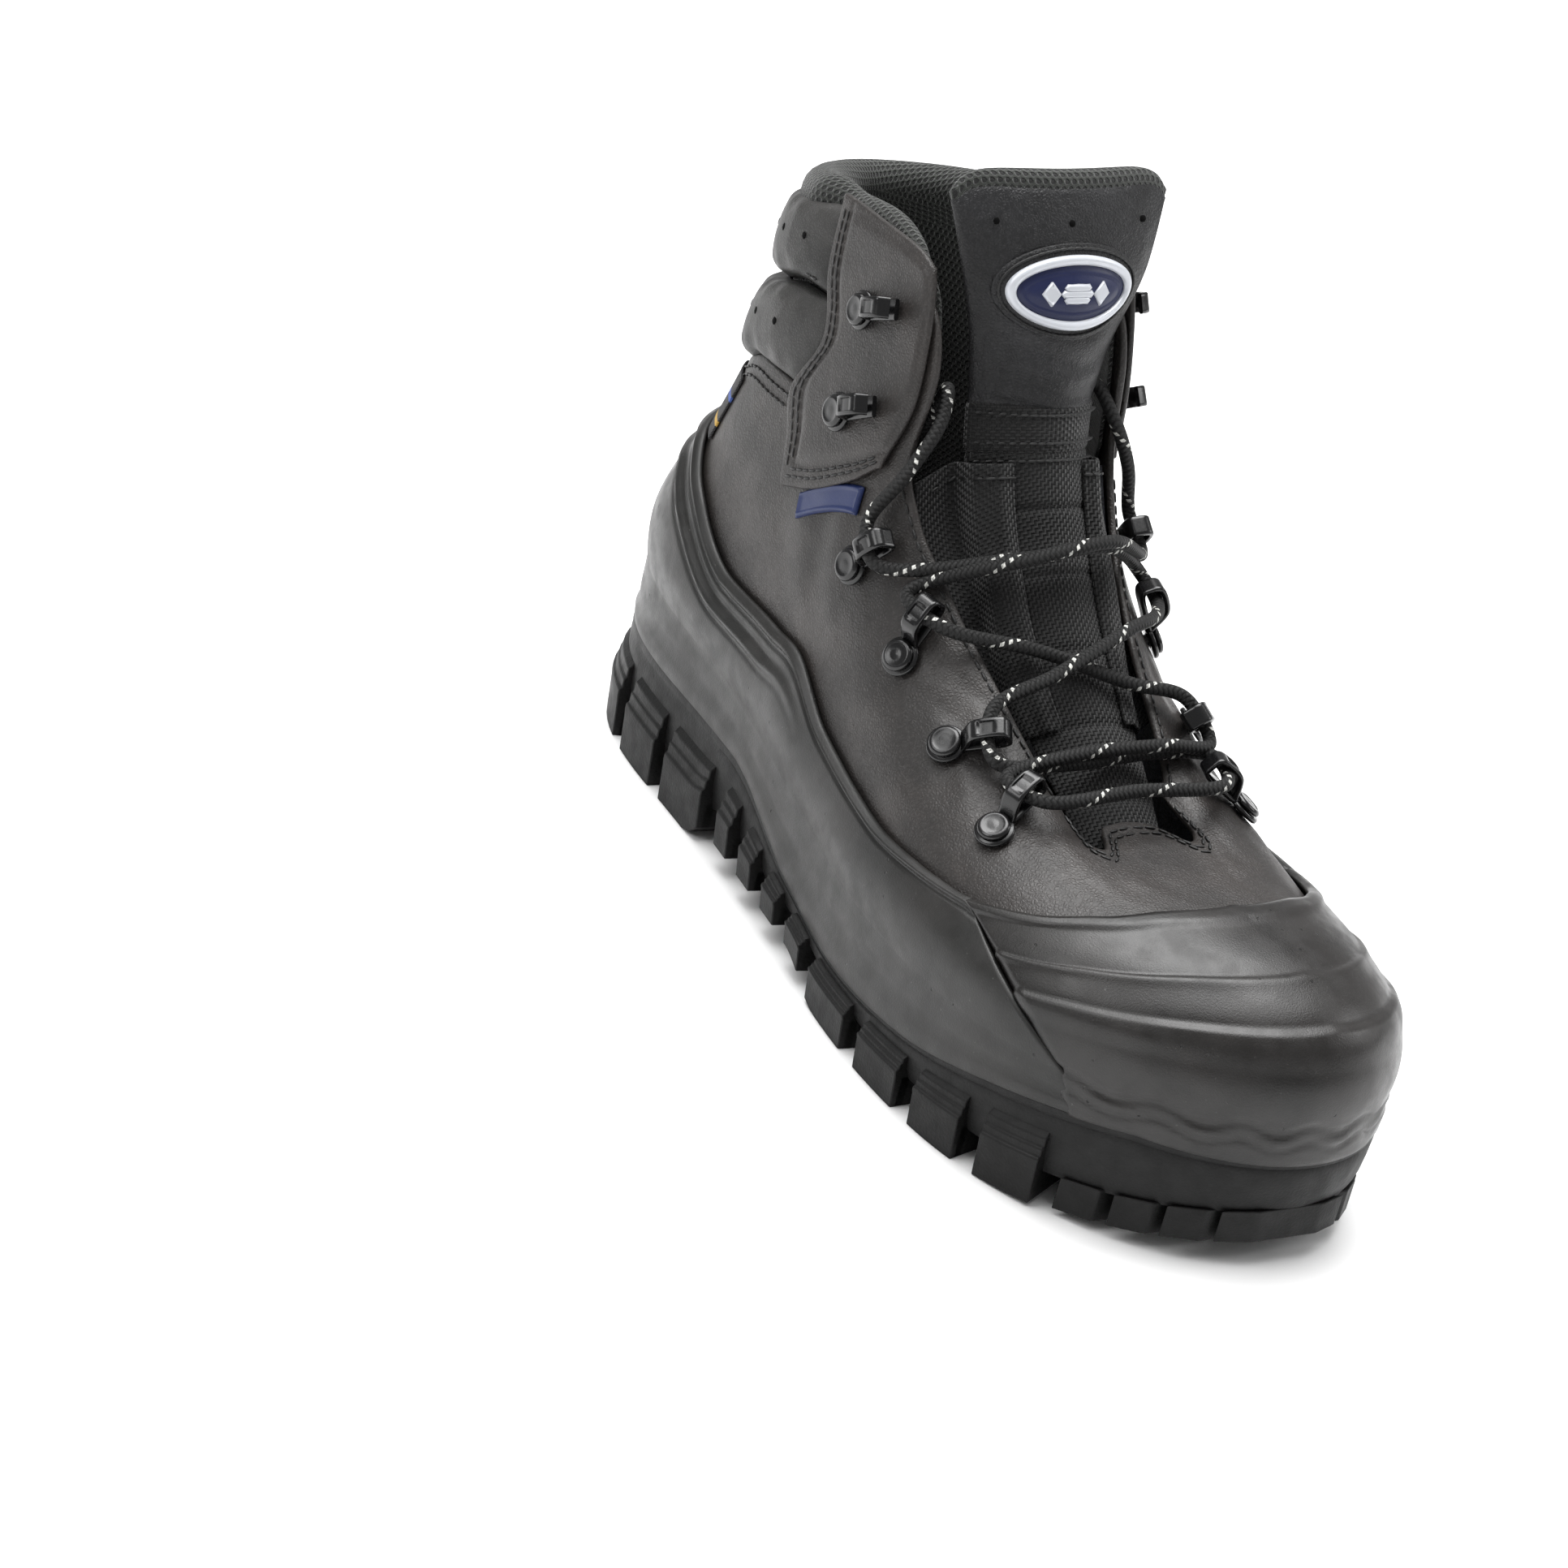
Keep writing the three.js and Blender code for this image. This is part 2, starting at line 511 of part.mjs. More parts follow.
// The panel's outline, corner to corner, as [column, row].
const PANEL_EDGES = {
  rear: PANEL_REAR.map(([row, column]) => [column, row]),
  front: [[7.21, 3.92], [7.41, 4.54], [7.73, 4.77], [8.07, 5.01]],
  bottom: [[8.17, 2.57], [7.8, 2.83], [7.4, 3.39], [7.21, 3.92]],
  top: [[9.11, 4.97], [8.57, 4.92], [8.07, 5.01]],
};
function alongLine(points, share) {
  const k = Math.min(Math.floor(share * (points.length - 1)), points.length - 2);
  const t = share * (points.length - 1) - k;
  return points[k].map((value, axis) => mix(value, points[k + 1][axis], t));
}
// A place inside the four edges, across from rear to front and up from bottom to top.
function insidePanel(across, up) {
  const { rear, front, bottom, top } = PANEL_EDGES;
  const [r, f] = [alongLine(rear, up), alongLine(front, up)];
  const [b, t] = [alongLine(bottom, across), alongLine(top, across)];
  const [rearTop, frontTop] = [rear[rear.length - 1], front[front.length - 1]];
  return [0, 1].map((axis) => {
    const low = mix(rear[0][axis], front[0][axis], across);
    const high = mix(rearTop[axis], frontTop[axis], across);
    return mix(r[axis], f[axis], across) + mix(b[axis], t[axis], up) - mix(low, high, up);
  });
}
const PANEL_LIFT = PLY_GAP + 0.3;
function anklePanel(isInner) {
  const side = (lift) =>
    series(8, 0, 1).map((up) => series(6, 0, 1).map((across) => {
      const [c, r] = insidePanel(across, up);
      const swell = wave(across) * wave(up);
      return onLast(isInner ? COLUMNS - c : c, r, lift(swell));
    }));
  return wall(side((swell) => PANEL_LIFT + PANEL * mix(0.7, 1, smooth(swell * 3))), side(always(PANEL_LIFT)));
}

// ---- Tongue ----

// Down the middle of the tongue, from the vamp to its top edge: [x, z, half its width, how far its edges fall back].
const TONGUE = [
  [213, 60, 11, 2], [190, 78, 15, 5], [166, 95, 18, 8], [147, 116, 19, 11], [134, 138, 18, 13], [128, 158, 19, 10],
  [123, 181, 28, 6], [112, 204, 34, 6],
];
const TONGUE_SHIFT = [-2, 1]; // to the inner side, at its foot and at its top
const TONGUE_THICK = [[0, 2], [0.45, 3.5], [0.6, 6], [1, 7]];
const SEAM = 4 / 7; // the share of the way up where the padded part starts
const BAND = 0.64; // where the woven band ends and the leather starts
const RIM = 0.98; // and where the leather gives way to the mesh at the top

function tongueSpine(share) {
  const at = clamp(share) * (TONGUE.length - 1);
  const k = Math.min(Math.floor(at), TONGUE.length - 2);
  const weights = splineWeights(at - k);
  const section = (i) => {
    if (i >= 0 && i < TONGUE.length) return TONGUE[i];
    const [end, next] = i < 0 ? [0, 1] : [TONGUE.length - 1, TONGUE.length - 2];
    return TONGUE[end].map((value, axis) => 2 * value - TONGUE[next][axis]);
  };
  return [0, 1, 2, 3].map((axis) => weights.reduce((sum, w, a) => sum + w * section(k + a - 1)[axis], 0));
}

// A place on the tongue, across from -1 to 1, lifted off its front.
function onTongue(across, share, lift = 0) {
  const [x, z, half, fall] = tongueSpine(share);
  const [x0, z0] = tongueSpine(share - 0.01);
  const [x1, z1] = tongueSpine(share + 0.01);
  const front = new THREE.Vector2(z1 - z0, x0 - x1).normalize();
  const back = fall * across ** 2 - lift;
  return new THREE.Vector3(
    (x - front.x * back) * scaleX,
    (mix(...TONGUE_SHIFT, share) + half * across) * scaleY,
    (z - front.y * back) * scaleZ,
  );
}

function tonguePiece(from, to, steps) {
  const side = (lift) =>
    series(steps, from, to).map((share) =>
      series(8, -1, 1).map((across) => onTongue(across, share, lift(share, across))));
  return wall(side(always(0)), side((share, across) => -along(TONGUE_THICK, share) * mix(1, 0.35, across ** 4)));
}

// The bellows that joins a side of the tongue to the upper: under the leather, then a fold over the tongue's edge.
const GUSSET_FROM = 0.2;
const GUSSET_TO = 0.56;
const GUSSET = 1.2;
const GUSSET_COLUMNS = { from: 3.4, to: 7 }; // where it hangs from the throat, at the tongue's foot and at its seam
function gusset(side) {
  const across = (share) => {
    const crest = 1.2 + 3 * smooth((share - GUSSET_FROM) / 0.2);
    const c = mix(GUSSET_COLUMNS.from, GUSSET_COLUMNS.to, share / SEAM);
    return [
      onTongue(0.6 * side, share, 0.6),
      onTongue(0.82 * side, share, crest),
      onTongue(0.98 * side, share, crest - 0.6),
      onTongue(1.1 * side, share, -2),
      onLast(side < 0 ? c : COLUMNS - c, 4.4, underLeather - LINING - 2.6 * PLY_GAP),
    ];
  };
  const back = series(9, GUSSET_FROM, GUSSET_TO).map(across);
  const front = back.map((row, i) => row.map((p, j) => {
    const [down, up] = [back[Math.max(i - 1, 0)][j], back[Math.min(i + 1, back.length - 1)][j]];
    const [near, far] = [row[Math.max(j - 1, 0)], row[Math.min(j + 1, row.length - 1)]];
    const normal = up.clone().sub(down).cross(far.clone().sub(near)).normalize();
    return p.clone().addScaledVector(normal, -side * GUSSET);
  }));
  return wall(front, back);
}

// ---- Lace hardware ----

const HOOKS = [ // [column, row] of the rivet and of the tip, from the collar down
  { rivet: [8.37, 4.27], tip: [7.93, 4.75], isOpen: true },
  { rivet: [7.96, 3.53], tip: [7.53, 4.2], isOpen: true },
  { rivet: [6.77, 3.08], tip: [6.45, 4.25] },
  { rivet: [5.7, 3.47], tip: [5.61, 4.71] },
  { rivet: [4.82, 3.46], tip: [4.25, 4.79] },
  { rivet: [3.96, 3.12], tip: [3.45, 4.81] },
];
const HOOK_LIFT = 0.8; // the hooks stand this clear of the curved leather
const HOLE_R = RIVET_SHANK_R + GAP; // in the leather and the hooks, round a rivet's shank

// A frame on the upper with its x along the hook, to the tip, and its z off the leather.
function hookFrame({ rivet, tip, isOpen }, isInner) {
  const place = ([c, r]) => [isInner ? COLUMNS - c : c, r];
  const ground = (isOpen ? PANEL_LIFT + PANEL : 0) + HOOK_LIFT;
  const frame = new THREE.Group();
  const normal = lastNormal(...place(rivet));
  const forward = lastPoint(...place(tip)).sub(lastPoint(...place(rivet)));
  forward.addScaledVector(normal, -forward.dot(normal)).normalize();
  frame.quaternion.setFromRotationMatrix(
    new THREE.Matrix4().makeBasis(forward, normal.clone().cross(forward), normal));
  frame.position.copy(onLast(...place(rivet), ground));
  frame.updateMatrix();
  frame.userData = { shank: ground + LEATHER };
  return frame;
}

const sideways = (shape) =>
  new THREE.ExtrudeGeometry(shape, { depth: HOOK_WIDTH, bevelEnabled: false })
    .rotateX(Math.PI / 2).translate(0, HOOK_WIDTH / 2, 0);
const outlineShape = (points) => new THREE.Shape(points.map(([x, y]) => new THREE.Vector2(x, y)));

// A loop holds the lace in a tunnel; an open hook is the same strip with a mouth at its tip.
function hookGeometry(isOpen) {
  const [tip, top, t] = [HOOK_REACH, HOOK_HEIGHT, HOOK_WALL];
  const ring = new THREE.Shape().absarc(0, 0, HOOK_RING_R, 0, 2 * Math.PI);
  ring.holes.push(new THREE.Path().absarc(0, 0, HOLE_R, 0, 2 * Math.PI));
  const plate = new THREE.ExtrudeGeometry(ring, { depth: t, bevelEnabled: false, curveSegments: 6 });
  const foot = [[4.6, 1], [4.6, 0], [tip - 1.4, 0]];
  const crown = [[8.2, top], [5.2, 2.6]];
  if (isOpen) {
    const mouth = [[tip - 1.4, t], [7.4, t], [9.4, top - t], [tip - 3, top - t], [tip - 1, 3.4], [tip, 3.6]];
    return joined(plate, sideways(outlineShape([...foot, ...mouth, [tip - 2, top], ...crown])));
  }
  const loop = outlineShape([...foot, [tip, 1], [tip, top - 1.8], [tip - 1.6, top], ...crown]);
  const inside = [[tip - t, t], [tip - t, top - t - 0.8], [tip - t - 0.8, top - t]];
  loop.holes.push(outlineShape([[6.8, t], ...inside, [8.9, top - t]]));
  return joined(plate, sideways(loop));
}

function rivetGeometry(shank) {
  const low = HOOK_WALL + GAP;
  const profile = [
    [0, -shank], [RIVET_SHANK_R, -shank], [RIVET_SHANK_R, low], [RIVET_R, low], [RIVET_R, low + 1], [0, low + 2],
  ];
  return new THREE.LatheGeometry(profile.map(([x, y]) => new THREE.Vector2(x, y)), 10).rotateX(Math.PI / 2);
}

const shankHole = (frame) =>
  new THREE.CylinderGeometry(HOLE_R, HOLE_R, 2 * frame.userData.shank + 4, 8)
    .rotateX(Math.PI / 2).applyMatrix4(frame.matrix);

const SIDES = ["outer", "inner"];
const hardware = SIDES.map((side) => HOOKS.map((hook) => hookFrame(hook, side === "inner")));
hardware.forEach((frames, i) => frames.forEach((frame, k) => {
  body.add(frame);
  const kind = HOOKS[k].isOpen ? "hook" : "loop";
  place(`lace_${kind}_${SIDES[i]}_${k + 1}`, "nylon", hookGeometry(HOOKS[k].isOpen), frame);
  place(`rivet_${SIDES[i]}_${k + 1}`, "nylon", rivetGeometry(frame.userData.shank), frame);
}));
const shankHoles = hardware.flat().map(shankHole);
const panelHoles = (i) => HOOKS.flatMap((hook, k) => (hook.isOpen ? [shankHole(hardware[i][k])] : []));

// ---- Lace ----

// The lace from its outer end to its inner end, as chosen points. Each end lies on the footbed, climbs the inside of
// the shaft and comes out over the bellows; between, the lace goes down through the loops, across, and back up.
const LACE_ROUTE = [
  [76, -1, 46], [56, 1, 46], [35, -2, 46], [31, -13, 46], [44, -21, 46], [66, -20, 46], [88, -18, 60],
  [98, -20, 92], [106, -21, 124], [115.5, -23.5, 146.5], [124, -29.5, 141], [126.5, -38, 128],
  [125.5, -45, 114.5], [134.5, -46, 107.8], // outer loop 3
  [151.5, -14, 117], [150, 12, 118], [142.1, 32, 104.8], [155.5, 29.4, 102], // inner loop 4
  [168, 11, 104], [175.5, -14, 97], [178.9, -33.4, 90.2], [190, -37.5, 82.5], // outer loop 5
  [192, -16, 81], [190, 12, 81], [193.5, 27.5, 81], [206, 23.5, 80.5], // inner loop 6
  [206.5, -4.5, 81], [206, -32.5, 80], [195, -36.5, 80.5], // outer loop 6
  [192.5, -14, 84], [193, 11, 85], [190, 28.5, 82.5], [179.5, 25.5, 90], // inner loop 5
  [175, 11, 92.5], [167, -14, 99], [156, -38, 101.5], [143.5, -41, 104], // outer loop 4
  [154.5, -14, 118.5], [152.5, 11, 121], [135, 36, 107.5], [126, 36, 114], // inner loop 3
  [126.5, 31, 128], [124.5, 23.8, 141], [116, 20.4, 147.3], [106, 17, 124], [98, 16, 92], [98, 15, 62],
  [112, 14, 43], [136, 15, 39], [162, 14, 36],
];
const LACE_STEPS = 80;
const AGLET = { length: 16, radius: 1.5 };

const laceCurve = new THREE.CatmullRomCurve3(LACE_ROUTE.map(vector), false, "centripetal");
const laceSection = new THREE.Shape().absarc(0, 0, LACE_D / 2, 0, 2 * Math.PI);
const lace = new THREE.ExtrudeGeometry(laceSection, {
  steps: LACE_STEPS, curveSegments: LACE_SIDES / 2, bevelEnabled: false, extrudePath: laceCurve,
});
// The hard tip on an end of the lace, straight on from it.
function aglet(atEnd) {
  const outward = laceCurve.getTangent(atEnd).multiplyScalar(atEnd ? 1 : -1);
  return new THREE.CylinderGeometry(AGLET.radius, AGLET.radius, AGLET.length, LACE_SIDES)
    .applyQuaternion(new THREE.Quaternion().setFromUnitVectors(new THREE.Vector3(0, 1, 0), outward))
    .translate(...laceCurve.getPoint(atEnd).addScaledVector(outward, AGLET.length / 2 + GAP));
}
place("lace", "lace", lace);
place("aglet_outer", "nylon", aglet(0));
place("aglet_inner", "nylon", aglet(1));

// ---- Badge, label and tag ----

const BADGE = { share: 0.8, halfWidth: 19, halfHeight: 9.5, rim: 2.6, lift: 0.5, rimHigh: 2.4, faceHigh: 1.5 };
// A ring of places on the tongue round the badge's middle, an oval of the given half-sizes.
function badgeOval(inset, lift) {
  const [, , half] = tongueSpine(BADGE.share);
  const climb = onTongue(0, BADGE.share + 0.01).distanceTo(onTongue(0, BADGE.share)) / 0.01;
  return series(31, 0, 2 * Math.PI * 31 / 32).map((angle) =>
    onTongue(Math.cos(angle) * (BADGE.halfWidth - inset) / (half * scaleY),
      BADGE.share + Math.sin(angle) * (BADGE.halfHeight - inset) / climb, lift));
}
const badgeRim = wall(
  [badgeOval(0, BADGE.lift), badgeOval(0.3, BADGE.rimHigh)],
  [badgeOval(BADGE.rim, BADGE.lift), badgeOval(BADGE.rim - 0.3, BADGE.rimHigh)],
  true,
);
const badgeFace = stack([badgeOval(BADGE.rim + GAP, BADGE.lift), badgeOval(BADGE.rim + GAP, BADGE.faceHigh)]);

// A flat badge on the leather with four [column, row] corners, going round.
function label([a, b, c, d], thickness) {
  const side = (lift) => series(4, 0, 1).map((u) => series(2, 0, 1).map((v) => {
    const at = (axis) => mix(mix(a[axis], b[axis], u), mix(d[axis], c[axis], u), v);
    return onLast(at(0), at(1), lift);
  }));
  return wall(side(PLY_GAP + thickness), side(PLY_GAP));
}
const SIDE_LABEL = [[7.82, 2.46], [7.12, 3.3], [7.24, 3.5], [7.93, 2.64]];
const HEEL_TAG = [[9.62, 2.2], [9.62, 2.9], [10.1, 2.9], [10.1, 2.2]];

place("vamp_leather", "leather", cut(leather(26, -QUARTER_FRONT, QUARTER_FRONT), ...shankHoles));
place("quarter_leather_outer", "leather", cut(leather(9, QUARTER_FRONT, HEEL), ...shankHoles));
place("quarter_leather_inner", "leather", cut(leather(9, HEEL, COLUMNS - QUARTER_FRONT), ...shankHoles));
place("steel_toe_cap", "steel", toeCap);
place("heel_counter", "board", heelCounter);
place("vamp_lining", "footbed", vampLiningShell);
place("collar_lining_outer", "mesh", collarLining(6, LINING_FRONT, LINING_SEAM));
place("collar_lining_heel", "mesh", collarLining(6, LINING_SEAM, COLUMNS - LINING_SEAM));
place("collar_lining_inner", "mesh", collarLining(6, COLUMNS - LINING_SEAM, COLUMNS - LINING_FRONT));
place("collar_pad_lower", "padLeather", collarPad(above(leatherTop), below(padSeam)));
place("collar_pad_upper", "padLeather", collarPad(above(padSeam), always(PAD_TOP)));
place("ankle_panel_outer", "leather", cut(anklePanel(false), ...panelHoles(0)));
place("ankle_panel_inner", "leather", cut(anklePanel(true), ...panelHoles(1)));
place("tongue_lower", "fabric", tonguePiece(0.02, SEAM - 0.005, 10));
place("tongue_leather", "tongueLeather", tonguePiece(BAND + 0.003, RIM, 6));
place("tongue_band", "fabric", tonguePiece(SEAM + 0.005, BAND, 2));
place("tongue_rim", "mesh", tonguePiece(RIM + 0.003, 1, 1));

place("gusset_outer", "fabric", gusset(-1));
place("gusset_inner", "fabric", gusset(1));
place("badge_rim", "badgeRim", badgeRim);
place("badge_face", "badgeFace", badgeFace);
place("side_label", "badgeFace", label(SIDE_LABEL, 1));
place("heel_tag", "tag", label(HEEL_TAG, 0.8));

const layerInset = -insideSteel + PLY_GAP;
place("puncture_plate", "steel", layer(layerInset + 2, GAP, GAP + PLATE));
const boardLow = GAP + PLATE + GAP;
place("insole_board", "board", layer(layerInset, boardLow, boardLow + BOARD));
const footbedLow = boardLow + BOARD + GAP;
place("footbed", "footbed", layer(layerInset + LINING + PLY_GAP + 1, footbedLow, footbedLow + FOOTBED));

const box = new THREE.Box3().setFromObject(body);
const centre = box.getCenter(new THREE.Vector3());
body.position.set(-centre.x, -centre.y, -box.min.z);

export default boot;
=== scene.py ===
"""A steel toe work boot for the right foot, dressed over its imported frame.

Shapes are worked out in millimetres in the last's own frame, with the heel at x = 0, +X to the toe, +Y to the inner
side of the foot and +Z up. Last.place moves them to the row frame, in metres.
"""

from __future__ import annotations

import logging
import math
from dataclasses import dataclass, field
from enum import Enum

import bpy
import numpy as np
from mathutils import Matrix

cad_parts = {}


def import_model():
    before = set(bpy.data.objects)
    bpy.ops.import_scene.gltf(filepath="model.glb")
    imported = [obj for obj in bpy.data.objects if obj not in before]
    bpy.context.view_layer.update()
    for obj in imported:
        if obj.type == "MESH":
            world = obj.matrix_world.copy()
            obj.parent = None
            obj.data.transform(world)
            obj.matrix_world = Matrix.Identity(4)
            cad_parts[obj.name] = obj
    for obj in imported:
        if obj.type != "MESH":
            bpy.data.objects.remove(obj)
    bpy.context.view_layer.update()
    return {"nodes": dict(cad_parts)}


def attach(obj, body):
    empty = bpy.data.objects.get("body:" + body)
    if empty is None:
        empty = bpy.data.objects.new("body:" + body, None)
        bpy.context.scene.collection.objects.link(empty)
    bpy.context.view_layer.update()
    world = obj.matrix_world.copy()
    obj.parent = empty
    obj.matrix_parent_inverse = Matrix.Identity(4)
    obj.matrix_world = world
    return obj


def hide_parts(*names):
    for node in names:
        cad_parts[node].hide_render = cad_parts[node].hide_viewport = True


Array = np.ndarray
Pairs = tuple[tuple[float, float], ...]
Tree = bpy.types.NodeTree
Inputs = dict | tuple | list
LOG = logging.getLogger("boot")

COLUMNS = 22  # round the last: 0 is the toe, 11 the heel by the outer side, 22 the toe again
HEEL = 11.0
PLY_GAP = 0.6  # between the layers of the upper
LEATHER = 2.0
UNDER_LEATHER = -LEATHER - PLY_GAP


class Side(Enum):
    """A side of the foot, with the sign of its y."""

    OUTER = -1
    INNER = 1


# ---- Small sums ----


def mix(a: Array | float, b: Array | float, t: Array | float) -> Array:
    """The value a share t of the way from a to b."""
    return a + (b - a) * t


def smooth(t: Array | float) -> Array:
    """An eased step: 3t^2 - 2t^3, held at 0 and 1 outside."""
    t = np.clip(t, 0, 1)
    return t * t * (3 - 2 * t)


def wave(t: Array | float) -> Array:
    """Half a sine: 0 at 0 and 1, and 1 in the middle."""
    return np.sin(np.pi * np.clip(t, 0, 1))


def bump(t: Array | float) -> Array:
    """A bell of height 1 round 0: e to the minus t squared."""
    return np.exp(-np.square(t))


def unit(v: Array) -> Array:
    """Vectors brought to length 1; one of no length stays as it is."""
    size = np.linalg.norm(v, axis=-1, keepdims=True)
    return v / np.where(size < 1e-12, 1, size)


def eased(pairs: Pairs, x: Array | float) -> Array:
    """A value read off (place, value) pairs, eased from each to the next and held past the ends.

    Args:
        pairs: the pairs, in order of place.
        x: where to read.

    Returns:
        The values at x.
    """
    places, values = np.array(pairs, float).T
    x = np.asarray(x, float)
    k = np.clip(np.searchsorted(places, x), 1, len(places) - 1)
    t = smooth((x - places[k - 1]) / (places[k] - places[k - 1]))
    return mix(values[k - 1], values[k], t)


def flowing(pairs: Pairs, x: Array | float) -> Array:
    """A value read off (place, value) pairs along a smooth curve that never swings past them.

    Each span is a cubic Hermite. Its end slopes are the harmonic mean of the chords on each side, or 0 where they
    turn, or the end chord's own slope.

    Args:
        pairs: the pairs, in order of place.
        x: where to read.

    Returns:
        The values at x, held past the ends.
    """
    places, values = np.array(pairs, float).T
    wide = np.diff(places)
    chord = np.diff(values) / wide
    first, second = chord[:-1], chord[1:]
    turns = first * second <= 0
    a, b = 2 * wide[1:] + wide[:-1], wide[1:] + 2 * wide[:-1]
    mean = (a + b) / (a / np.where(turns, 1, first) + b / np.where(turns, 1, second))
    slope = np.concatenate([chord[:1], np.where(turns, 0, mean), chord[-1:]])
    x = np.clip(np.asarray(x, float), places[0], places[-1])
    k = np.clip(np.searchsorted(places, x), 1, len(places) - 1)
    t = (x - places[k - 1]) / wide[k - 1]
    bend = t * (1 - t) * wide[k - 1] * (slope[k - 1] * (1 - t) - slope[k] * t)
    return mix(values[k - 1], values[k], smooth(t)) + bend


def spline_weights(t: Array) -> Array:
    """The four weights of a uniform cubic B-spline at t between its two middle points, stacked first."""
    return np.stack([(1 - t) ** 3, 3 * t**3 - 6 * t**2 + 4, -3 * t**3 + 3 * t**2 + 3 * t + 1, t**3]) / 6


def through(points: Array, steps: int, closed: bool = False, power: float = 0.5) -> Array:
    """A smooth curve through points: the centripetal Catmull-Rom spline.

    Each span runs between two points, with knots spaced by the distance between points to the given power, and is
    worked out by blending straight lines three times over.

    Args:
        points: the points, in order, (n, k).
        steps: samples in each span.
        closed: whether the curve goes back to its first point.
        power: 0.5 for centripetal knots.

    Returns:
        The samples in order, with the last point where the curve is open.
    """
    p = np.asarray(points, float)
    if closed:
        ring = np.concatenate([p[-1:], p, p[:2]])
    else:
        ring = np.concatenate([2 * p[:1] - p[1:2], p, 2 * p[-1:] - p[-2:-1]])
    gaps = np.maximum(np.linalg.norm(np.diff(ring, axis=0), axis=1), 1e-6) ** power
    p0, p1, p2, p3 = (ring[i : len(ring) - 3 + i, None, :] for i in range(4))
    t0 = np.zeros((len(ring) - 3, 1, 1))
    spans = np.cumsum(np.stack([gaps[i : len(ring) - 3 + i] for i in range(3)]), axis=0)
    t1, t2, t3 = (t0 + span[:, None, None] for span in spans)
    t = t1 + (t2 - t1) * np.linspace(0, 1, steps, endpoint=False)[None, :, None]
    a1 = mix(p0, p1, (t - t0) / (t1 - t0))
    a2 = mix(p1, p2, (t - t1) / (t2 - t1))
    a3 = mix(p2, p3, (t - t2) / (t3 - t2))
    b1, b2 = mix(a1, a2, (t - t0) / (t2 - t0)), mix(a2, a3, (t - t1) / (t3 - t1))
    curve = mix(b1, b2, (t - t1) / (t2 - t1)).reshape(-1, p.shape[1])
    return curve if closed else np.concatenate([curve, p[-1:]])


def cut_corners(points: Array, rounds: int, closed: bool = True) -> Array:
    """A polygon with its corners cut, again and again: each edge keeps its middle half."""
    p = np.asarray(points, float)
    for _ in range(rounds):
        q = np.roll(p, -1, axis=0)
        pair = np.stack([0.75 * p + 0.25 * q, 0.25 * p + 0.75 * q], axis=1)
        cut = (pair if closed else pair[:-1]).reshape(-1, p.shape[1])
        p = cut if closed else np.concatenate([p[:1], cut, p[-1:]])
    return p


def lengths_along(path: Array) -> Array:
    """How far along a path each of its points is."""
    return np.concatenate([[0], np.cumsum(np.linalg.norm(np.diff(path, axis=0), axis=1))])


def arc_uv(grid: Array, ring: bool) -> Array:
    """Cloth coordinates in metres: u is the length along a row from its middle, v the length up a column.

    Args:
        grid: points in mm, (rows, columns, 3).
        ring: whether the rows close; the result then has one more column than the grid.

    Returns:
        (rows, columns, 2)
    """
    g = np.concatenate([grid, grid[:, :1]], axis=1) if ring else grid
    u = np.zeros(g.shape[:2])
    v = np.zeros(g.shape[:2])
    u[:, 1:] = np.cumsum(np.linalg.norm(np.diff(g, axis=1), axis=2), axis=1)
    v[1:] = np.cumsum(np.linalg.norm(np.diff(g, axis=0), axis=2), axis=0)
    middle = u.shape[1] // 2
    return np.stack([u - u[:, middle : middle + 1], v], axis=-1) / 1000


# ---- The last ----


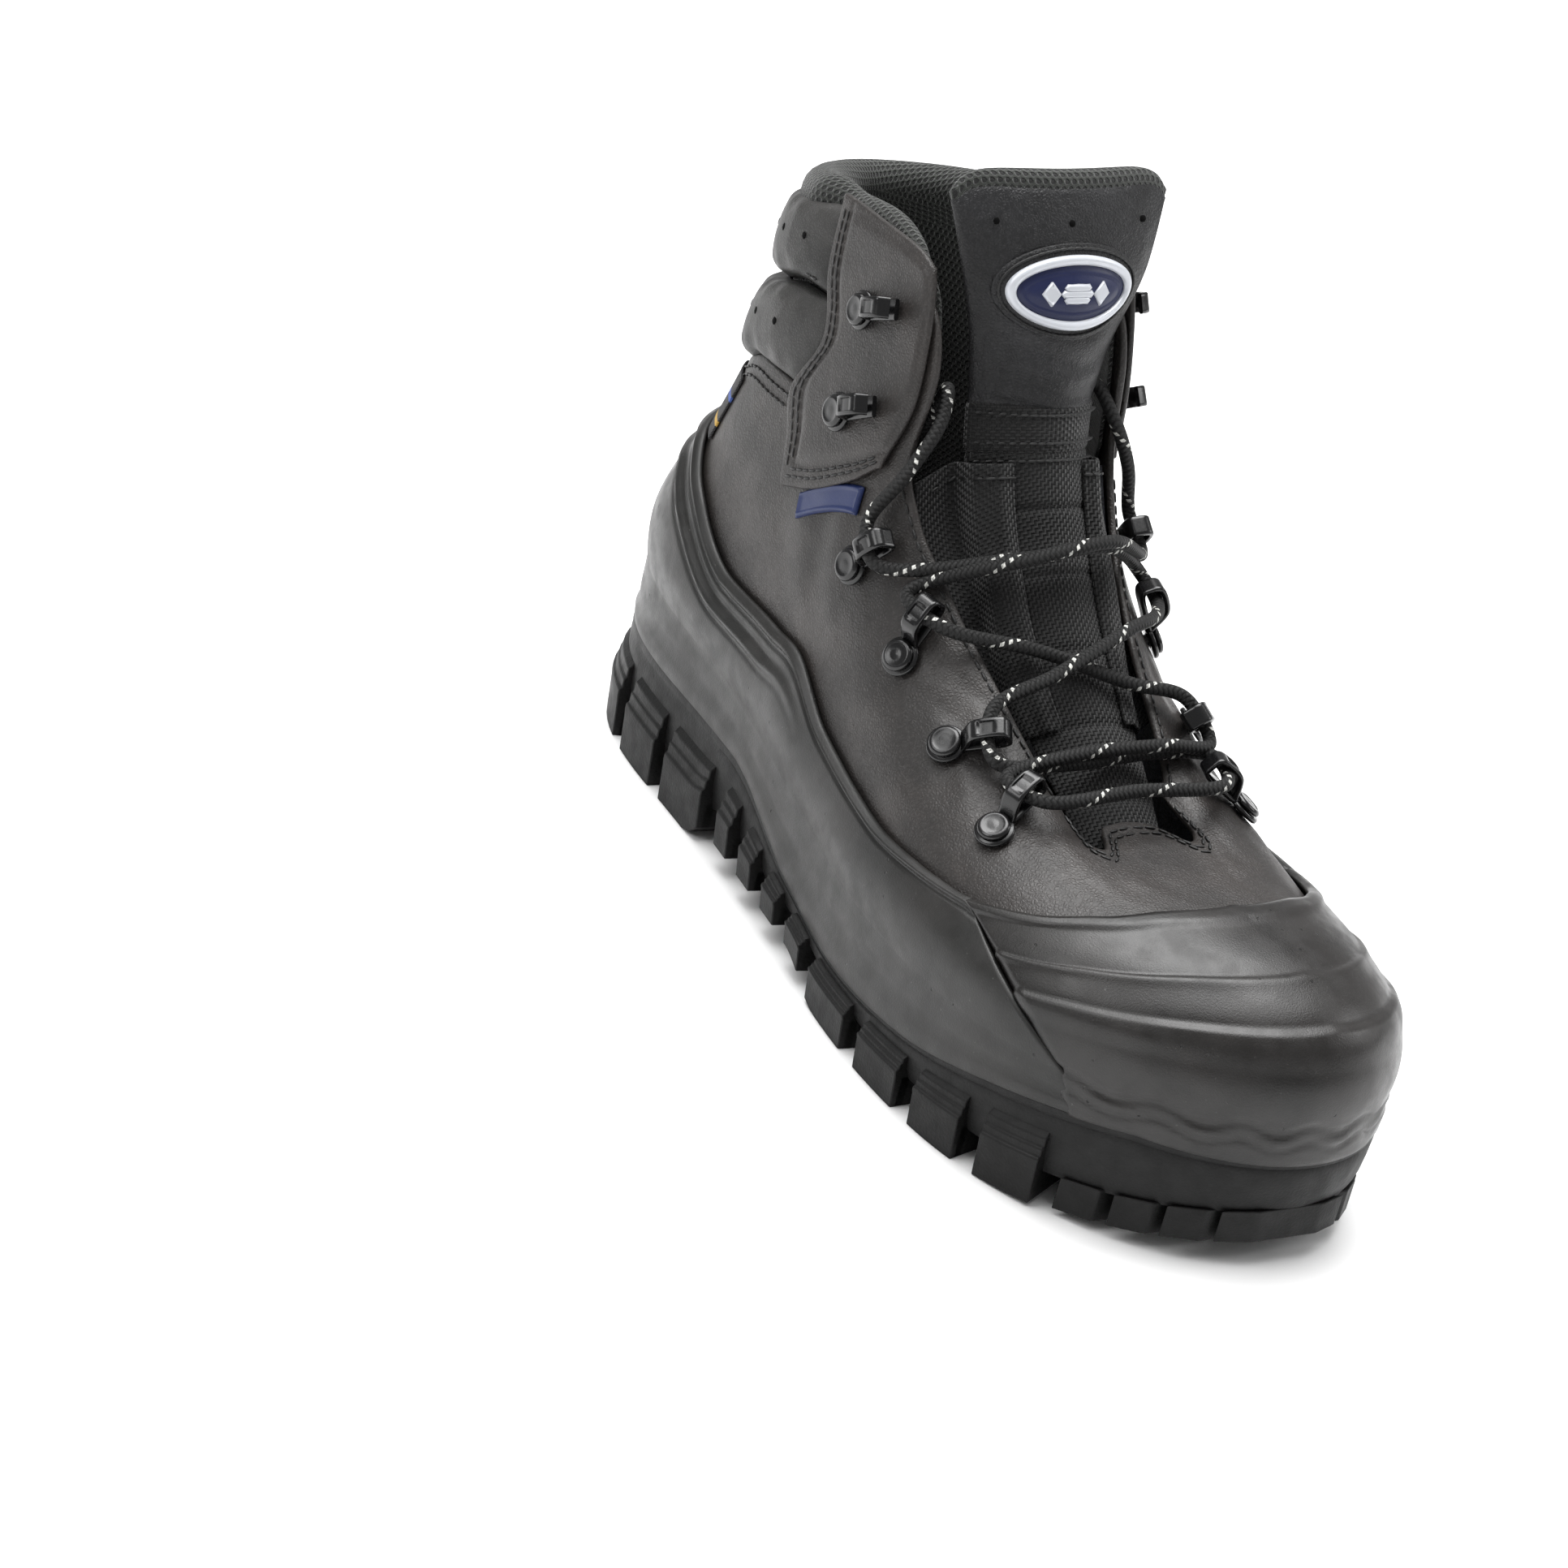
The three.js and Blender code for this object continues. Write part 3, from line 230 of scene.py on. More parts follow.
@dataclass
class Last:
    """The surface that the upper and the sole follow.

    A place on it is (column, row): the row is 0 at the feather edge of the sole and 5 at the edge of the throat and
    the collar. The control points are one line a column from the toe to the heel by the outer side, in mm; the inner
    side is their mirror image, narrowed.
    """

    inner_share: float = 0.92
    swing: Pairs = ((0, 1), (60, 0), (140, -3), (225, -3), (302, 3))
    shift: tuple[float, float, float] = (-150.561, 5.095, 0.0)
    control: Array = field(init=False)

    def __post_init__(self) -> None:
        """Mirrors the drawn columns and carries the first and last rows straight on by one."""
        half = np.array(
            [
                [[289, 0, 28], [299, 0, 46], [289, 0, 66], [260, 0, 71], [233, 0, 71], [208, 0, 70]],
                [[286, -18, 28], [294, -19, 46], [283, -17, 65], [256, -14, 71], [231, -12, 71], [208, -11, 70]],
                [[272, -35, 26], [279, -38, 46], [269, -33, 62], [247, -25, 69], [227, -20, 71], [207, -16, 70]],
                [[247, -46, 24], [251, -50, 45], [245, -45, 60], [231, -34, 68], [217, -26, 71], [202, -20, 73]],
                [[215, -51, 22], [215, -55, 44], [211, -51, 59], [203, -41, 69], [196, -31, 75], [189, -24, 80]],
                [[180, -49, 22], [180, -53, 44], [178, -51, 61], [173, -43, 75], [167, -35, 85], [163, -28, 92]],
                [[145, -41, 25], [145, -47, 46], [144, -46, 68], [142, -42, 87], [139, -36, 100], [138, -31, 108]],
                [[112, -37, 29], [112, -44, 52], [113, -44, 80], [116, -41, 104], [120, -36, 122], [126, -31, 130]],
                [[82, -35, 33], [82, -43, 56], [86, -43, 88], [96, -40, 120], [109, -34, 152], [121, -29, 186]],
                [[50, -35, 34], [48, -42, 56], [52, -42, 86], [59, -38, 114], [65, -34, 146], [66, -31, 178]],
                [[20, -29, 34], [14, -35, 56], [22, -33, 86], [31, -29, 114], [34, -28, 142], [35, -26, 168]],
                [[7, 0, 34], [0, 0, 54], [9, 0, 84], [20, 0, 112], [17, 0, 138], [13, 0, 160]],
            ],
            float,
        )
        inner = half[10:0:-1] * np.array([1, -self.inner_share, 1])
        whole = np.concatenate([half, inner])
        low, high = 2 * whole[:, :1] - whole[:, 1:2], 2 * whole[:, -1:] - whole[:, -2:-1]
        self.control = np.concatenate([low, whole, high], axis=1)

    def point(self, c: Array | float, r: Array | float) -> Array:
        """Points of the surface, in mm: control points weighted by a cubic B-spline along columns and rows."""
        c, r = np.broadcast_arrays(np.asarray(c, float), np.asarray(r, float))
        i, j = np.floor(c).astype(int), np.clip(np.floor(r).astype(int), 0, 4)
        steps = np.arange(4).reshape(4, *[1] * c.ndim)
        near = self.control[((i + steps - 1) % COLUMNS)[:, None], (j + steps)[None]]
        p = np.einsum("a...,b...,ab...k->...k", spline_weights(c - i), spline_weights(r - j), near)
        p[..., 1] += eased(self.swing, p[..., 0])
        return p

    def normal(self, c: Array | float, r: Array | float, step: float = 0.002) -> Array:
        """Outward normals: the slope up the rows crossed with the slope round the columns."""
        round_ = self.point(np.add(c, step), r) - self.point(np.subtract(c, step), r)
        up = self.point(c, np.add(r, step)) - self.point(c, np.subtract(r, step))
        return unit(np.cross(up, round_))

    def on(self, c: Array | float, r: Array | float, lift: Array | float = 0.0) -> Array:
        """Points lifted off the surface along its normal, in mm."""
        return self.point(c, r) + self.normal(c, r) * np.asarray(lift, float)[..., None]

    def place(self, points: Array) -> Array:
        """Points in mm moved to the row frame, in metres."""
        return (np.asarray(points, float) + np.array(self.shift)) / 1000

    def outer_column(self, c: Array | float) -> Array:
        """The column of the outer side that a column mirrors."""
        k = np.mod(np.abs(c), COLUMNS)
        return np.where(k > HEEL, COLUMNS - k, k)


LAST = Last()


# ---- Pieces ----


@dataclass
class Piece:
    """A named piece, gathered from closed shells before it becomes an object. Points are in mm."""

    name: str
    points: list[Array] = field(default_factory=list)
    faces: list[Array] = field(default_factory=list)
    uvs: list[Array] = field(default_factory=list)
    count: int = 0

    def shell(self, points: Array, faces: list[Array], uvs: list[Array]) -> "Piece":
        """Adds a closed shell and turns its faces outwards.

        The shell's volume is the sum of the tetrahedra from its middle to its faces, cut in fans; where it is
        negative every face is turned round.

        Args:
            points: (n, 3).
            faces: arrays of point numbers, one array for each number of corners.
            uvs: the cloth coordinates of those corners.

        Returns:
            This piece.
        """
        p = points - points.mean(axis=0)
        volume = 0.0
        for f in faces:
            for k in range(1, f.shape[1] - 1):
                volume += np.einsum("ij,ij->", p[f[:, 0]], np.cross(p[f[:, k]], p[f[:, k + 1]]))
        turned = slice(None, None, -1 if volume < 0 else 1)
        self.points.append(points)
        self.faces += [f[:, turned] + self.count for f in faces]
        self.uvs += [uv[:, turned] for uv in uvs]
        self.count += len(points)
        return self

    def slab(self, outer: Array, inner: Array, ring: bool = False, lip: int = 3, uv: Array | None = None) -> "Piece":
        """Adds the closed wall between two grids, its edges rounded.

        Along an edge the wall turns over in half a circle: middle + half thickness times the cosine + the same length
        along the surface, outwards, times the sine.

        Args:
            outer: (rows, columns, 3).
            inner: the same shape.
            ring: whether the columns close.
            lip: points across the rounded edge; none leaves it square.
            uv: cloth coordinates, or those of the outer grid's own lengths.

        Returns:
            This piece.
        """
        rows, cols = outer.shape[:2]
        uv = arc_uv(outer, ring) if uv is None else uv
        flat_uv = uv.reshape(-1, 2)
        ids, uids = np.arange(rows * cols).reshape(rows, cols), np.arange(len(flat_uv)).reshape(rows, -1)
        if ring:
            ids = np.concatenate([ids, ids[:, :1]], axis=1)

        def quads(a: Array) -> Array:
            """The four corners of each square of a grid of numbers."""
            return np.stack([a[:-1, :-1], a[:-1, 1:], a[1:, 1:], a[1:, :-1]], axis=-1).reshape(-1, 4)

        middle, half = (outer + inner) / 2, (outer - inner) / 2
        edge = np.zeros_like(outer)
        edge[0] += unit(middle[0] - middle[1])
        edge[-1] += unit(middle[-1] - middle[-2])
        if not ring:
            edge[:, 0] += unit(middle[:, 0] - middle[:, 1])
            edge[:, -1] += unit(middle[:, -1] - middle[:, -2])
        edge = unit(edge) * np.linalg.norm(half, axis=-1, keepdims=True)
        if ring:
            down, up = np.tile([0.0, -1.0], (cols, 1)), np.tile([0.0, 1.0], (cols, 1))
            borders = [
                (ids[0, :-1], uids[0, :-1], uids[0, 1:], down),
                (ids[-1, :0:-1], uids[-1, :0:-1], uids[-1, -2::-1], up),
            ]
        else:
            trip = [(0, slice(0, -1)), (slice(0, -1), -1), (-1, slice(None, 0, -1)), (slice(None, 0, -1), 0)]
            loop = np.concatenate([ids[i, j] for i, j in trip])
            ways = np.array([[0.0, -1.0], [1.0, 0.0], [0.0, 1.0], [-1.0, 0.0]])
            borders = [(loop, loop, np.roll(loop, -1), np.repeat(ways, [cols - 1, rows - 1] * 2, axis=0))]
        points = [outer.reshape(-1, 3), inner.reshape(-1, 3)]
        faces, uvs = [quads(ids), quads(ids)[:, ::-1] + rows * cols], [flat_uv[quads(uids)]]
        uvs.append(uvs[0][:, ::-1])
        count = 2 * rows * cols
        turns = np.pi * np.arange(lip + 2) / (lip + 1)
        for border, start, end, way in borders:
            m, h, e = (x.reshape(-1, 3)[border] for x in (middle, half, edge))
            reach = np.linalg.norm(h, axis=-1, keepdims=True) * way / 1000  # cloth coordinates go on round the edge
            loops = [border]
            for turn in turns[1:-1]:
                points.append(m + h * math.cos(turn) + e * math.sin(turn))
                loops.append(np.arange(len(border)) + count)
                count += len(border)
            loops.append(border + rows * cols)
            for a, b, before, after in zip(loops, loops[1:], turns, turns[1:]):
                faces.append(np.stack([np.roll(a, -1), a, b, np.roll(b, -1)], axis=-1))
                here, there = flat_uv[start], flat_uv[end]
                next_ = np.roll(reach, -1, axis=0)
                corners = [there + next_ * before, here + reach * before, here + reach * after, there + next_ * after]
                uvs.append(np.stack(corners, axis=1))
        return self.shell(np.concatenate(points), faces, uvs)

    def sweep(
        self, path: Array, across: Array, profile: Array, closed: bool = False, outward: Array | None = None
    ) -> "Piece":
        """Adds a profile carried along a path, closed with flat ends where the path is open.

        A point is path + profile x times the side direction + profile y times across, where across is squared to
        the path and the side direction is square to both.

        Args:
            path: (n, 3).
            across: the direction of the profile's y, (3,) or (n, 3).
            profile: (m, 2), or (n, m, 2) where it changes along the path.
            closed: whether the path closes.
            outward: the profile's x, (n, 3), in place of the direction square to the path and across.

        Returns:
            This piece.
        """
        n = len(path)
        if closed:
            along = np.roll(path, -1, axis=0) - np.roll(path, 1, axis=0)
        else:
            along = np.gradient(path, axis=0)
        along = unit(along)
        y = np.broadcast_to(np.asarray(across, float), path.shape)
        y = unit(y - along * np.sum(along * y, axis=1, keepdims=True))
        x = np.cross(y, along) if outward is None else outward
        section = np.broadcast_to(profile, (n, *profile.shape[-2:]))
        m = section.shape[1]
        points = path[:, None] + section[..., :1] * x[:, None] + section[..., 1:] * y[:, None]
        ids = np.arange(n * m).reshape(n, m)
        ids = np.concatenate([ids, ids[:, :1]], axis=1)
        far = lengths_along(np.concatenate([path, path[:1]]) if closed else path) / 1000
        if closed:
            ids = np.concatenate([ids, ids[:1]], axis=0)
        uv = np.stack(np.broadcast_arrays(far[:, None], np.linspace(0, 1, m + 1)[None]), axis=-1)
        first, last = slice(0, -1), slice(1, None)
        corners = [(first, first), (first, last), (last, last), (last, first)]
        faces = [np.stack([ids[k] for k in corners], axis=-1).reshape(-1, 4)]
        uvs = [np.stack([uv[k] for k in corners], axis=-2).reshape(-1, 4, 2)]
        if not closed:
            faces += [ids[:1, -2::-1], ids[-1:, :-1]]
            uvs += [uv[:1, -2::-1], uv[-1:, :-1]]
        return self.shell(points.reshape(-1, 3), faces, uvs)

    def lathe(self, origin: Array, axes: Array, profile: Array, turns: int = 40, closed: bool = False) -> "Piece":
        """Adds a profile turned round an axis: (radius, height) goes to radius times the cosine and sine of the turn.

        Args:
            origin: the foot of the axis.
            axes: three unit vectors, the third along the axis.
            profile: (n, 2) of radius and height.
            turns: points round.
            closed: whether the profile itself closes, as for a washer.

        Returns:
            This piece.
        """
        angle = np.linspace(0, 2 * np.pi, turns, endpoint=False)
        ring = np.cos(angle)[:, None] * axes[0] + np.sin(angle)[:, None] * axes[1]
        p = np.asarray(profile, float)
        points = origin + p[:, :1, None] * ring[None] + p[:, 1:, None] * axes[2]
        ids = np.arange(len(p) * turns).reshape(len(p), turns)
        ids = np.concatenate([ids, ids[:, :1]], axis=1)
        if closed:
            ids = np.concatenate([ids, ids[:1]], axis=0)
        faces = [np.stack([ids[:-1, :-1], ids[:-1, 1:], ids[1:, 1:], ids[1:, :-1]], axis=-1).reshape(-1, 4)]
        if not closed:
            faces += [ids[:1, -2::-1], ids[-1:, :-1]]
        flat = points.reshape(-1, 3)
        local = (flat - origin) @ axes[:2].T / 1000
        return self.shell(flat, faces, [local[f] for f in faces])

    def beads(self, at: Array, along: Array, normal: Array, size: tuple[float, float, float]) -> "Piece":
        """Adds one small rounded bar at each place, such as a stitch: six sides and five rings, replicated.

        Args:
            at: the middles, (n, 3).
            along: unit directions of the bars.
            normal: unit directions off the surface.
            size: half of the length, width and height.

        Returns:
            This piece.
        """
        angle = np.arange(6) * np.pi / 3
        rings = np.array([[-1, 0.35], [-0.7, 0.85], [0, 1], [0.7, 0.85], [1, 0.35]])
        local = np.stack(
            [
                np.repeat(rings[:, 0], 6) * size[0],
                np.outer(rings[:, 1], np.cos(angle)).ravel() * size[1],
                np.outer(rings[:, 1], np.sin(angle)).ravel() * size[2],
            ],
            axis=-1,
        )
        side = np.cross(normal, along)
        points = at[:, None] + np.einsum("vk,nkj->nvj", local, np.stack([along, side, normal], axis=1))
        ids = np.arange(30).reshape(5, 6)
        ids = np.concatenate([ids, ids[:, :1]], axis=1)
        quads = np.stack([ids[:-1, :-1], ids[:-1, 1:], ids[1:, 1:], ids[1:, :-1]], axis=-1).reshape(-1, 4)
        starts = (np.arange(len(at)) * 30)[:, None, None]
        faces = [(quads[None] + starts).reshape(-1, 4)]
        faces += [(cap[None, None] + starts).reshape(-1, 6) for cap in (ids[0, -2::-1], ids[-1, :-1])]
        return self.shell(points.reshape(-1, 3), faces, [np.zeros((*f.shape, 2)) for f in faces])

    def make(
        self,
        finish: "Finish",
        body: str = "boot",
        slot: str = "",
        replaces: tuple[str, ...] = (),
        bevel: float = 0.0,
        sharp: float = 180.0,
    ) -> bpy.types.Object:
        """Makes the object, gives it its finish, and sets it riding.

        Args:
            finish: what it is made of.
            body: the body that it rides on.
            slot: the record's material slot; not used.
            replaces: the CAD nodes that it stands for.
            bevel: width of its rounded edges in mm, or none.
            sharp: the angle in degrees over which an edge is shaded sharp.

        Returns:
            The object.
        """
        mesh = bpy.data.meshes.new(self.name)
        points = LAST.place(np.concatenate(self.points))
        mesh.from_pydata(points.tolist(), [], [f for a in self.faces for f in a.tolist()])
        layer = mesh.uv_layers.new(name="UVMap")
        layer.data.foreach_set("uv", np.concatenate([u.reshape(-1, 2) for u in self.uvs]).astype(np.float32).ravel())
        mesh.shade_smooth()
        if sharp < 180:
            mesh.set_sharp_from_angle(angle=math.radians(sharp))
        mesh.materials.append(finish.material())
        obj = bpy.data.objects.new(self.name, mesh)
        bpy.context.scene.collection.objects.link(obj)
        if bevel:
            edge = obj.modifiers.new("edges", "BEVEL")
            edge.width, edge.segments, edge.angle_limit = bevel / 1000, 2, math.radians(32)
        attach(obj, body)
        if replaces:
            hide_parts(*replaces)
        LOG.info("%s: %d faces, on %s", self.name, len(mesh.polygons), body)
        return obj


# ---- Finishes ----


def colour(hex_code: str) -> tuple[float, float, float, float]:
    """A screen colour such as "#38383a" as linear light: each channel s becomes ((s + 0.055) / 1.055) to the 2.4."""
    s = [int(hex_code[i : i + 2], 16) / 255 for i in (1, 3, 5)]
    return (*(x / 12.92 if x <= 0.04045 else ((x + 0.055) / 1.055) ** 2.4 for x in s), 1.0)


def fill(tree: Tree, node: bpy.types.Node, inputs: Inputs) -> None:
    """Fills a node's sockets: a node gives its first output, a socket is linked, and anything else is a value."""
    for key, value in inputs.items() if isinstance(inputs, dict) else enumerate(inputs):
        value = value.outputs[0] if isinstance(value, bpy.types.Node) else value
        if isinstance(value, bpy.types.NodeSocket):
            tree.links.new(value, node.inputs[key])
        else:
            node.inputs[key].default_value = value


def add(tree: Tree, kind: str, inputs: Inputs = (), **settings) -> bpy.types.Node:
    """Adds a node, with its settings and inputs.

    Args:
        tree: where it goes.
        kind: the node's type, less the ShaderNode that each begins with.
        inputs: what goes in its sockets, in their order, or by name or number.
        settings: the node's own properties.

    Returns:
        The node.
    """
    node = tree.nodes.new(f"ShaderNode{kind}")
    for key, value in settings.items():
        setattr(node, key, value)
    fill(tree, node, inputs)
    return node


def cloudy(at: bpy.types.NodeSocket, size_mm: float, detail: float = 3) -> Inputs:
    """The inputs of a noise whose blots are size_mm across."""
    return {"Vector": at, "Scale": 1000 / size_mm, "Detail": detail, "Roughness": 0.55}


def crossing(tree: Tree, ways: list[bpy.types.Node]) -> bpy.types.Node:
    """The height of two sets of crossing threads.

    Args:
        tree: where the nodes go.
        ways: how many threads along each way a point is.

    Returns:
        Half a sine over a thread: |sin(pi x)| of one way or the other, in squares that take turns like a
        chequerboard's.
    """
    floors = [add(tree, "Math", (way,), operation="FLOOR") for way in ways]
    square = add(tree, "Math", floors, operation="ADD")
    turn = add(tree, "Math", (square, 1.0), operation="PINGPONG")
    ridges = []
    for way in ways:
        ridge = add(tree, "Math", (way, math.pi), operation="MULTIPLY")
        ridge = add(tree, "Math", (ridge,), operation="SINE")
        ridges.append(add(tree, "Math", (ridge,), operation="ABSOLUTE"))
    return add(tree, "Mix", {0: turn, 2: ridges[0], 3: ridges[1]})


MADE: dict[str, bpy.types.Material] = {}
EASED = {"interpolation_type": "SMOOTHSTEP"}  # a range carried to another smoothly, and held past it
COLOURS = {"data_type": "RGBA"}


@dataclass(frozen=True)
class Finish:
    """A material with a colour, a gloss, and a relief that build() draws.

    Attributes:
        name: the real material and how it is made.
        base: its colour.
        rough: the shader's roughness.
        gleam: the shader's specular level.
        depth_mm: how deep the relief's 0 to 1 is.
    """

    name: str
    base: str
    rough: float = 0.6
    gleam: float = 0.5
    depth_mm: float = 0.3

    def material(self) -> bpy.types.Material:
        """The Blender material, made once for each name."""
        if self.name not in MADE:
            made = bpy.data.materials.new(self.name)
            made.use_nodes = True
            tree = made.node_tree
            tree.nodes.clear()
            plain = {"Base Color": colour(self.base), "Roughness": self.rough, "Specular IOR Level": self.gleam}
            shader = add(tree, "BsdfPrincipled", plain)
            add(tree, "OutputMaterial", {"Surface": shader})
            sockets, height = self.build(tree)
            fill(tree, shader, sockets)
            if height is not None:
                relief = {"Height": height, "Distance": self.depth_mm / 1000, "Strength": 1.0}
                fill(tree, shader, {"Normal": add(tree, "Bump", relief)})
            MADE[self.name] = made
        return MADE[self.name]

    def build(self, tree: Tree) -> tuple[Inputs, bpy.types.Node | None]:
        """Adds the nodes of the colour, the gloss and the relief; a plain finish has none.

        Args:
            tree: where they go.

        Returns:
            What fills the shader's sockets, by name, and the relief's height.
        """
        return {}, None

    def place(self, tree: Tree) -> bpy.types.NodeSocket:
        """Where a point is on the object, in metres."""
        return add(tree, "TexCoord").outputs["Object"]

    def cloth(self, tree: Tree) -> list[bpy.types.NodeSocket]:
        """Where a point is along and up the cloth, in metres."""
        return list(add(tree, "SeparateXYZ", (add(tree, "UVMap", uv_map="UVMap"),)).outputs)[:2]


@dataclass(frozen=True)
class GrainLeather(Finish):
    """Full-grain cowhide, drum-dyed and rolled: pebbled grain, fine pores, random blots, and painted shade in the
    grain's valleys that leaves its high spots paler.
    """

    high: str = "#4a4a4c"
    grain_mm: float = 1.1
    depth_mm: float = 0.16
    crease_mm: float = 9.0
    pore_mm: float = 0.35
    blot_mm: float = 22.0

    def build(self, tree: Tree) -> tuple[Inputs, bpy.types.Node]:
        """Pebbles are cells of grain_mm; creases and blots are noise."""
        at = self.place(tree)
        warp = add(tree, "TexNoise", {"Vector": at, "Scale": 1000 / (2.5 * self.grain_mm), "Detail": 2.0})
        moved = add(tree, "VectorMath", (warp.outputs[1], (0.0012,) * 3), operation="MULTIPLY")
        bent = add(tree, "VectorMath", (at, moved), operation="ADD")
        grain = {"Vector": bent, "Scale": 1000 / self.grain_mm}
        cells = add(tree, "TexVoronoi", grain, feature="DISTANCE_TO_EDGE")
        pebble = add(tree, "MapRange", (cells, 0.0, 0.35), **EASED)  # the valleys between the grain's pebbles
        flexed = add(tree, "TexNoise", cloudy(at, self.crease_mm, 5))
        crease = add(tree, "MapRange", (flexed, 0.42, 0.62), **EASED)  # soft creases where it flexes
        height = add(tree, "Math", (pebble, 0.5), operation="MULTIPLY")
        height = add(tree, "Math", (crease, 0.7, height), operation="MULTIPLY_ADD")
        pores = add(tree, "TexNoise", cloudy(at, self.pore_mm, 2))
        height = add(tree, "Math", (pores, 0.1, height), operation="MULTIPLY_ADD")
        blots = add(tree, "TexNoise", cloudy(at, self.blot_mm, 4))
        # the colour and the gloss follow random blots, and a little the pebbles; the darker valleys between them are
        # painted shade
        blots_and_valley_shade = add(tree, "Math", (pebble, 0.12), operation="MULTIPLY")
        blots_and_valley_shade = add(tree, "Math", (blots, 0.88, blots_and_valley_shade), operation="MULTIPLY_ADD")
        share = add(tree, "MapRange", (blots_and_valley_shade, 0.3, 0.8), **EASED)
        shade = add(tree, "Mix", {0: share, 6: colour(self.base), 7: colour(self.high)}, **COLOURS)
        gloss = add(tree, "MapRange", (blots_and_valley_shade, 0.2, 0.9, self.rough + 0.08, self.rough - 0.08), **EASED)
        return {"Base Color": shade.outputs[2], "Roughness": gloss}, height


@dataclass(frozen=True)
class MouldedFoam(Finish):
    """Polyurethane poured into a blasted mould: satin, with pinholes where bubbles met the wall."""

    high: str = "#3c3c3d"
    pin_mm: float = 5.0
    dust: str = "#6a6a68"
    pinhole_shade: str = "#0c0c0c"
    spread: float = 0.07

    def build(self, tree: Tree) -> tuple[Inputs, bpy.types.Node]:
        """Pinholes are the middles of scattered cells, coloured with painted shade; the blasted skin is fine noise."""
        at = self.place(tree)
        cells = add(tree, "TexVoronoi", {"Vector": at, "Scale": 1000 / self.pin_mm})
        drift = add(tree, "TexNoise", cloudy(at, 26, 2))
        patch = add(tree, "MapRange", (drift, 0.46, 0.6), **EASED)  # pinholes come in drifts
        pin = add(tree, "MapRange", (cells, 0.05, 0.085, 1.0, 0.0), **EASED)
        hole = add(tree, "Math", (pin, patch), operation="MULTIPLY")
        cloud = add(tree, "TexNoise", cloudy(at, 30, 4))
        share = add(tree, "MapRange", (cloud, 0.35, 0.7), **EASED)
        shade = add(tree, "Mix", {0: share, 6: colour(self.base), 7: colour(self.high)}, **COLOURS)
        # the pinholes take a near-black colour: painted shade
        shade = add(tree, "Mix", {0: hole, 6: shade.outputs[2], 7: colour(self.pinhole_shade)}, **COLOURS)
        grit = add(tree, "TexNoise", cloudy(at, 1.3, 6))
        specks = add(tree, "MapRange", (grit, 0.66, 0.8, 0.0, 0.35), **EASED)  # workshop dust
        shade = add(tree, "Mix", {0: specks, 6: shade.outputs[2], 7: colour(self.dust)}, **COLOURS)
        flow = add(tree, "TexNoise", cloudy(at, 7))
        gloss = add(tree, "MapRange", (flow, 0.3, 0.7, self.rough - self.spread, self.rough + self.spread), **EASED)
        skin = add(tree, "TexNoise", cloudy(at, 0.45))
        skin = add(tree, "Math", (skin, 0.22), operation="MULTIPLY")
        height = add(tree, "Math", (skin, hole), operation="SUBTRACT")
        return {"Base Color": shade.outputs[2], "Roughness": gloss}, height


@dataclass(frozen=True)
class Woven(Finish):
    """Cloth of crossing threads: each square of the weave shows a thread that runs along it or up it."""

    thread: str = "#2a2a2b"
    pitch_mm: float = 0.9
    stretch: float = 1.0
    depth_mm: float = 0.35

    def build(self, tree: Tree) -> tuple[Inputs, bpy.types.Node]:
        """The height of crossing threads, with fibres that break up their colour and their relief; the colour is
        painted shade at each thread's edges and a painted highlight on its crown.
        """
        pitches = (self.pitch_mm * self.stretch, self.pitch_mm)
        places = zip(self.cloth(tree), pitches)
        ways = [add(tree, "Math", (place, 1000 / pitch), operation="MULTIPLY") for place, pitch in places]
        height = crossing(tree, ways)
        fibre = add(tree, "TexNoise", cloudy(self.place(tree), 0.5))
        frayed = add(tree, "MapRange", (fibre, 0.3, 0.7, 0.6, 1.0), **EASED)
        share = add(tree, "Math", (height, frayed), operation="MULTIPLY")
        share = add(tree, "MapRange", (share, 0.25, 0.95), **EASED)
        # base at the threads' edges is painted shade; the thread colour on their crowns is a painted highlight
        shade = add(tree, "Mix", {0: share, 6: colour(self.base), 7: colour(self.thread)}, **COLOURS)
        height = add(tree, "Math", (fibre, 0.15, height), operation="MULTIPLY_ADD")
        sheen = 0.15  # fine fibres catch light at the cloth's edges
        return {"Base Color": shade.outputs[2], "Sheen Weight": sheen}, height


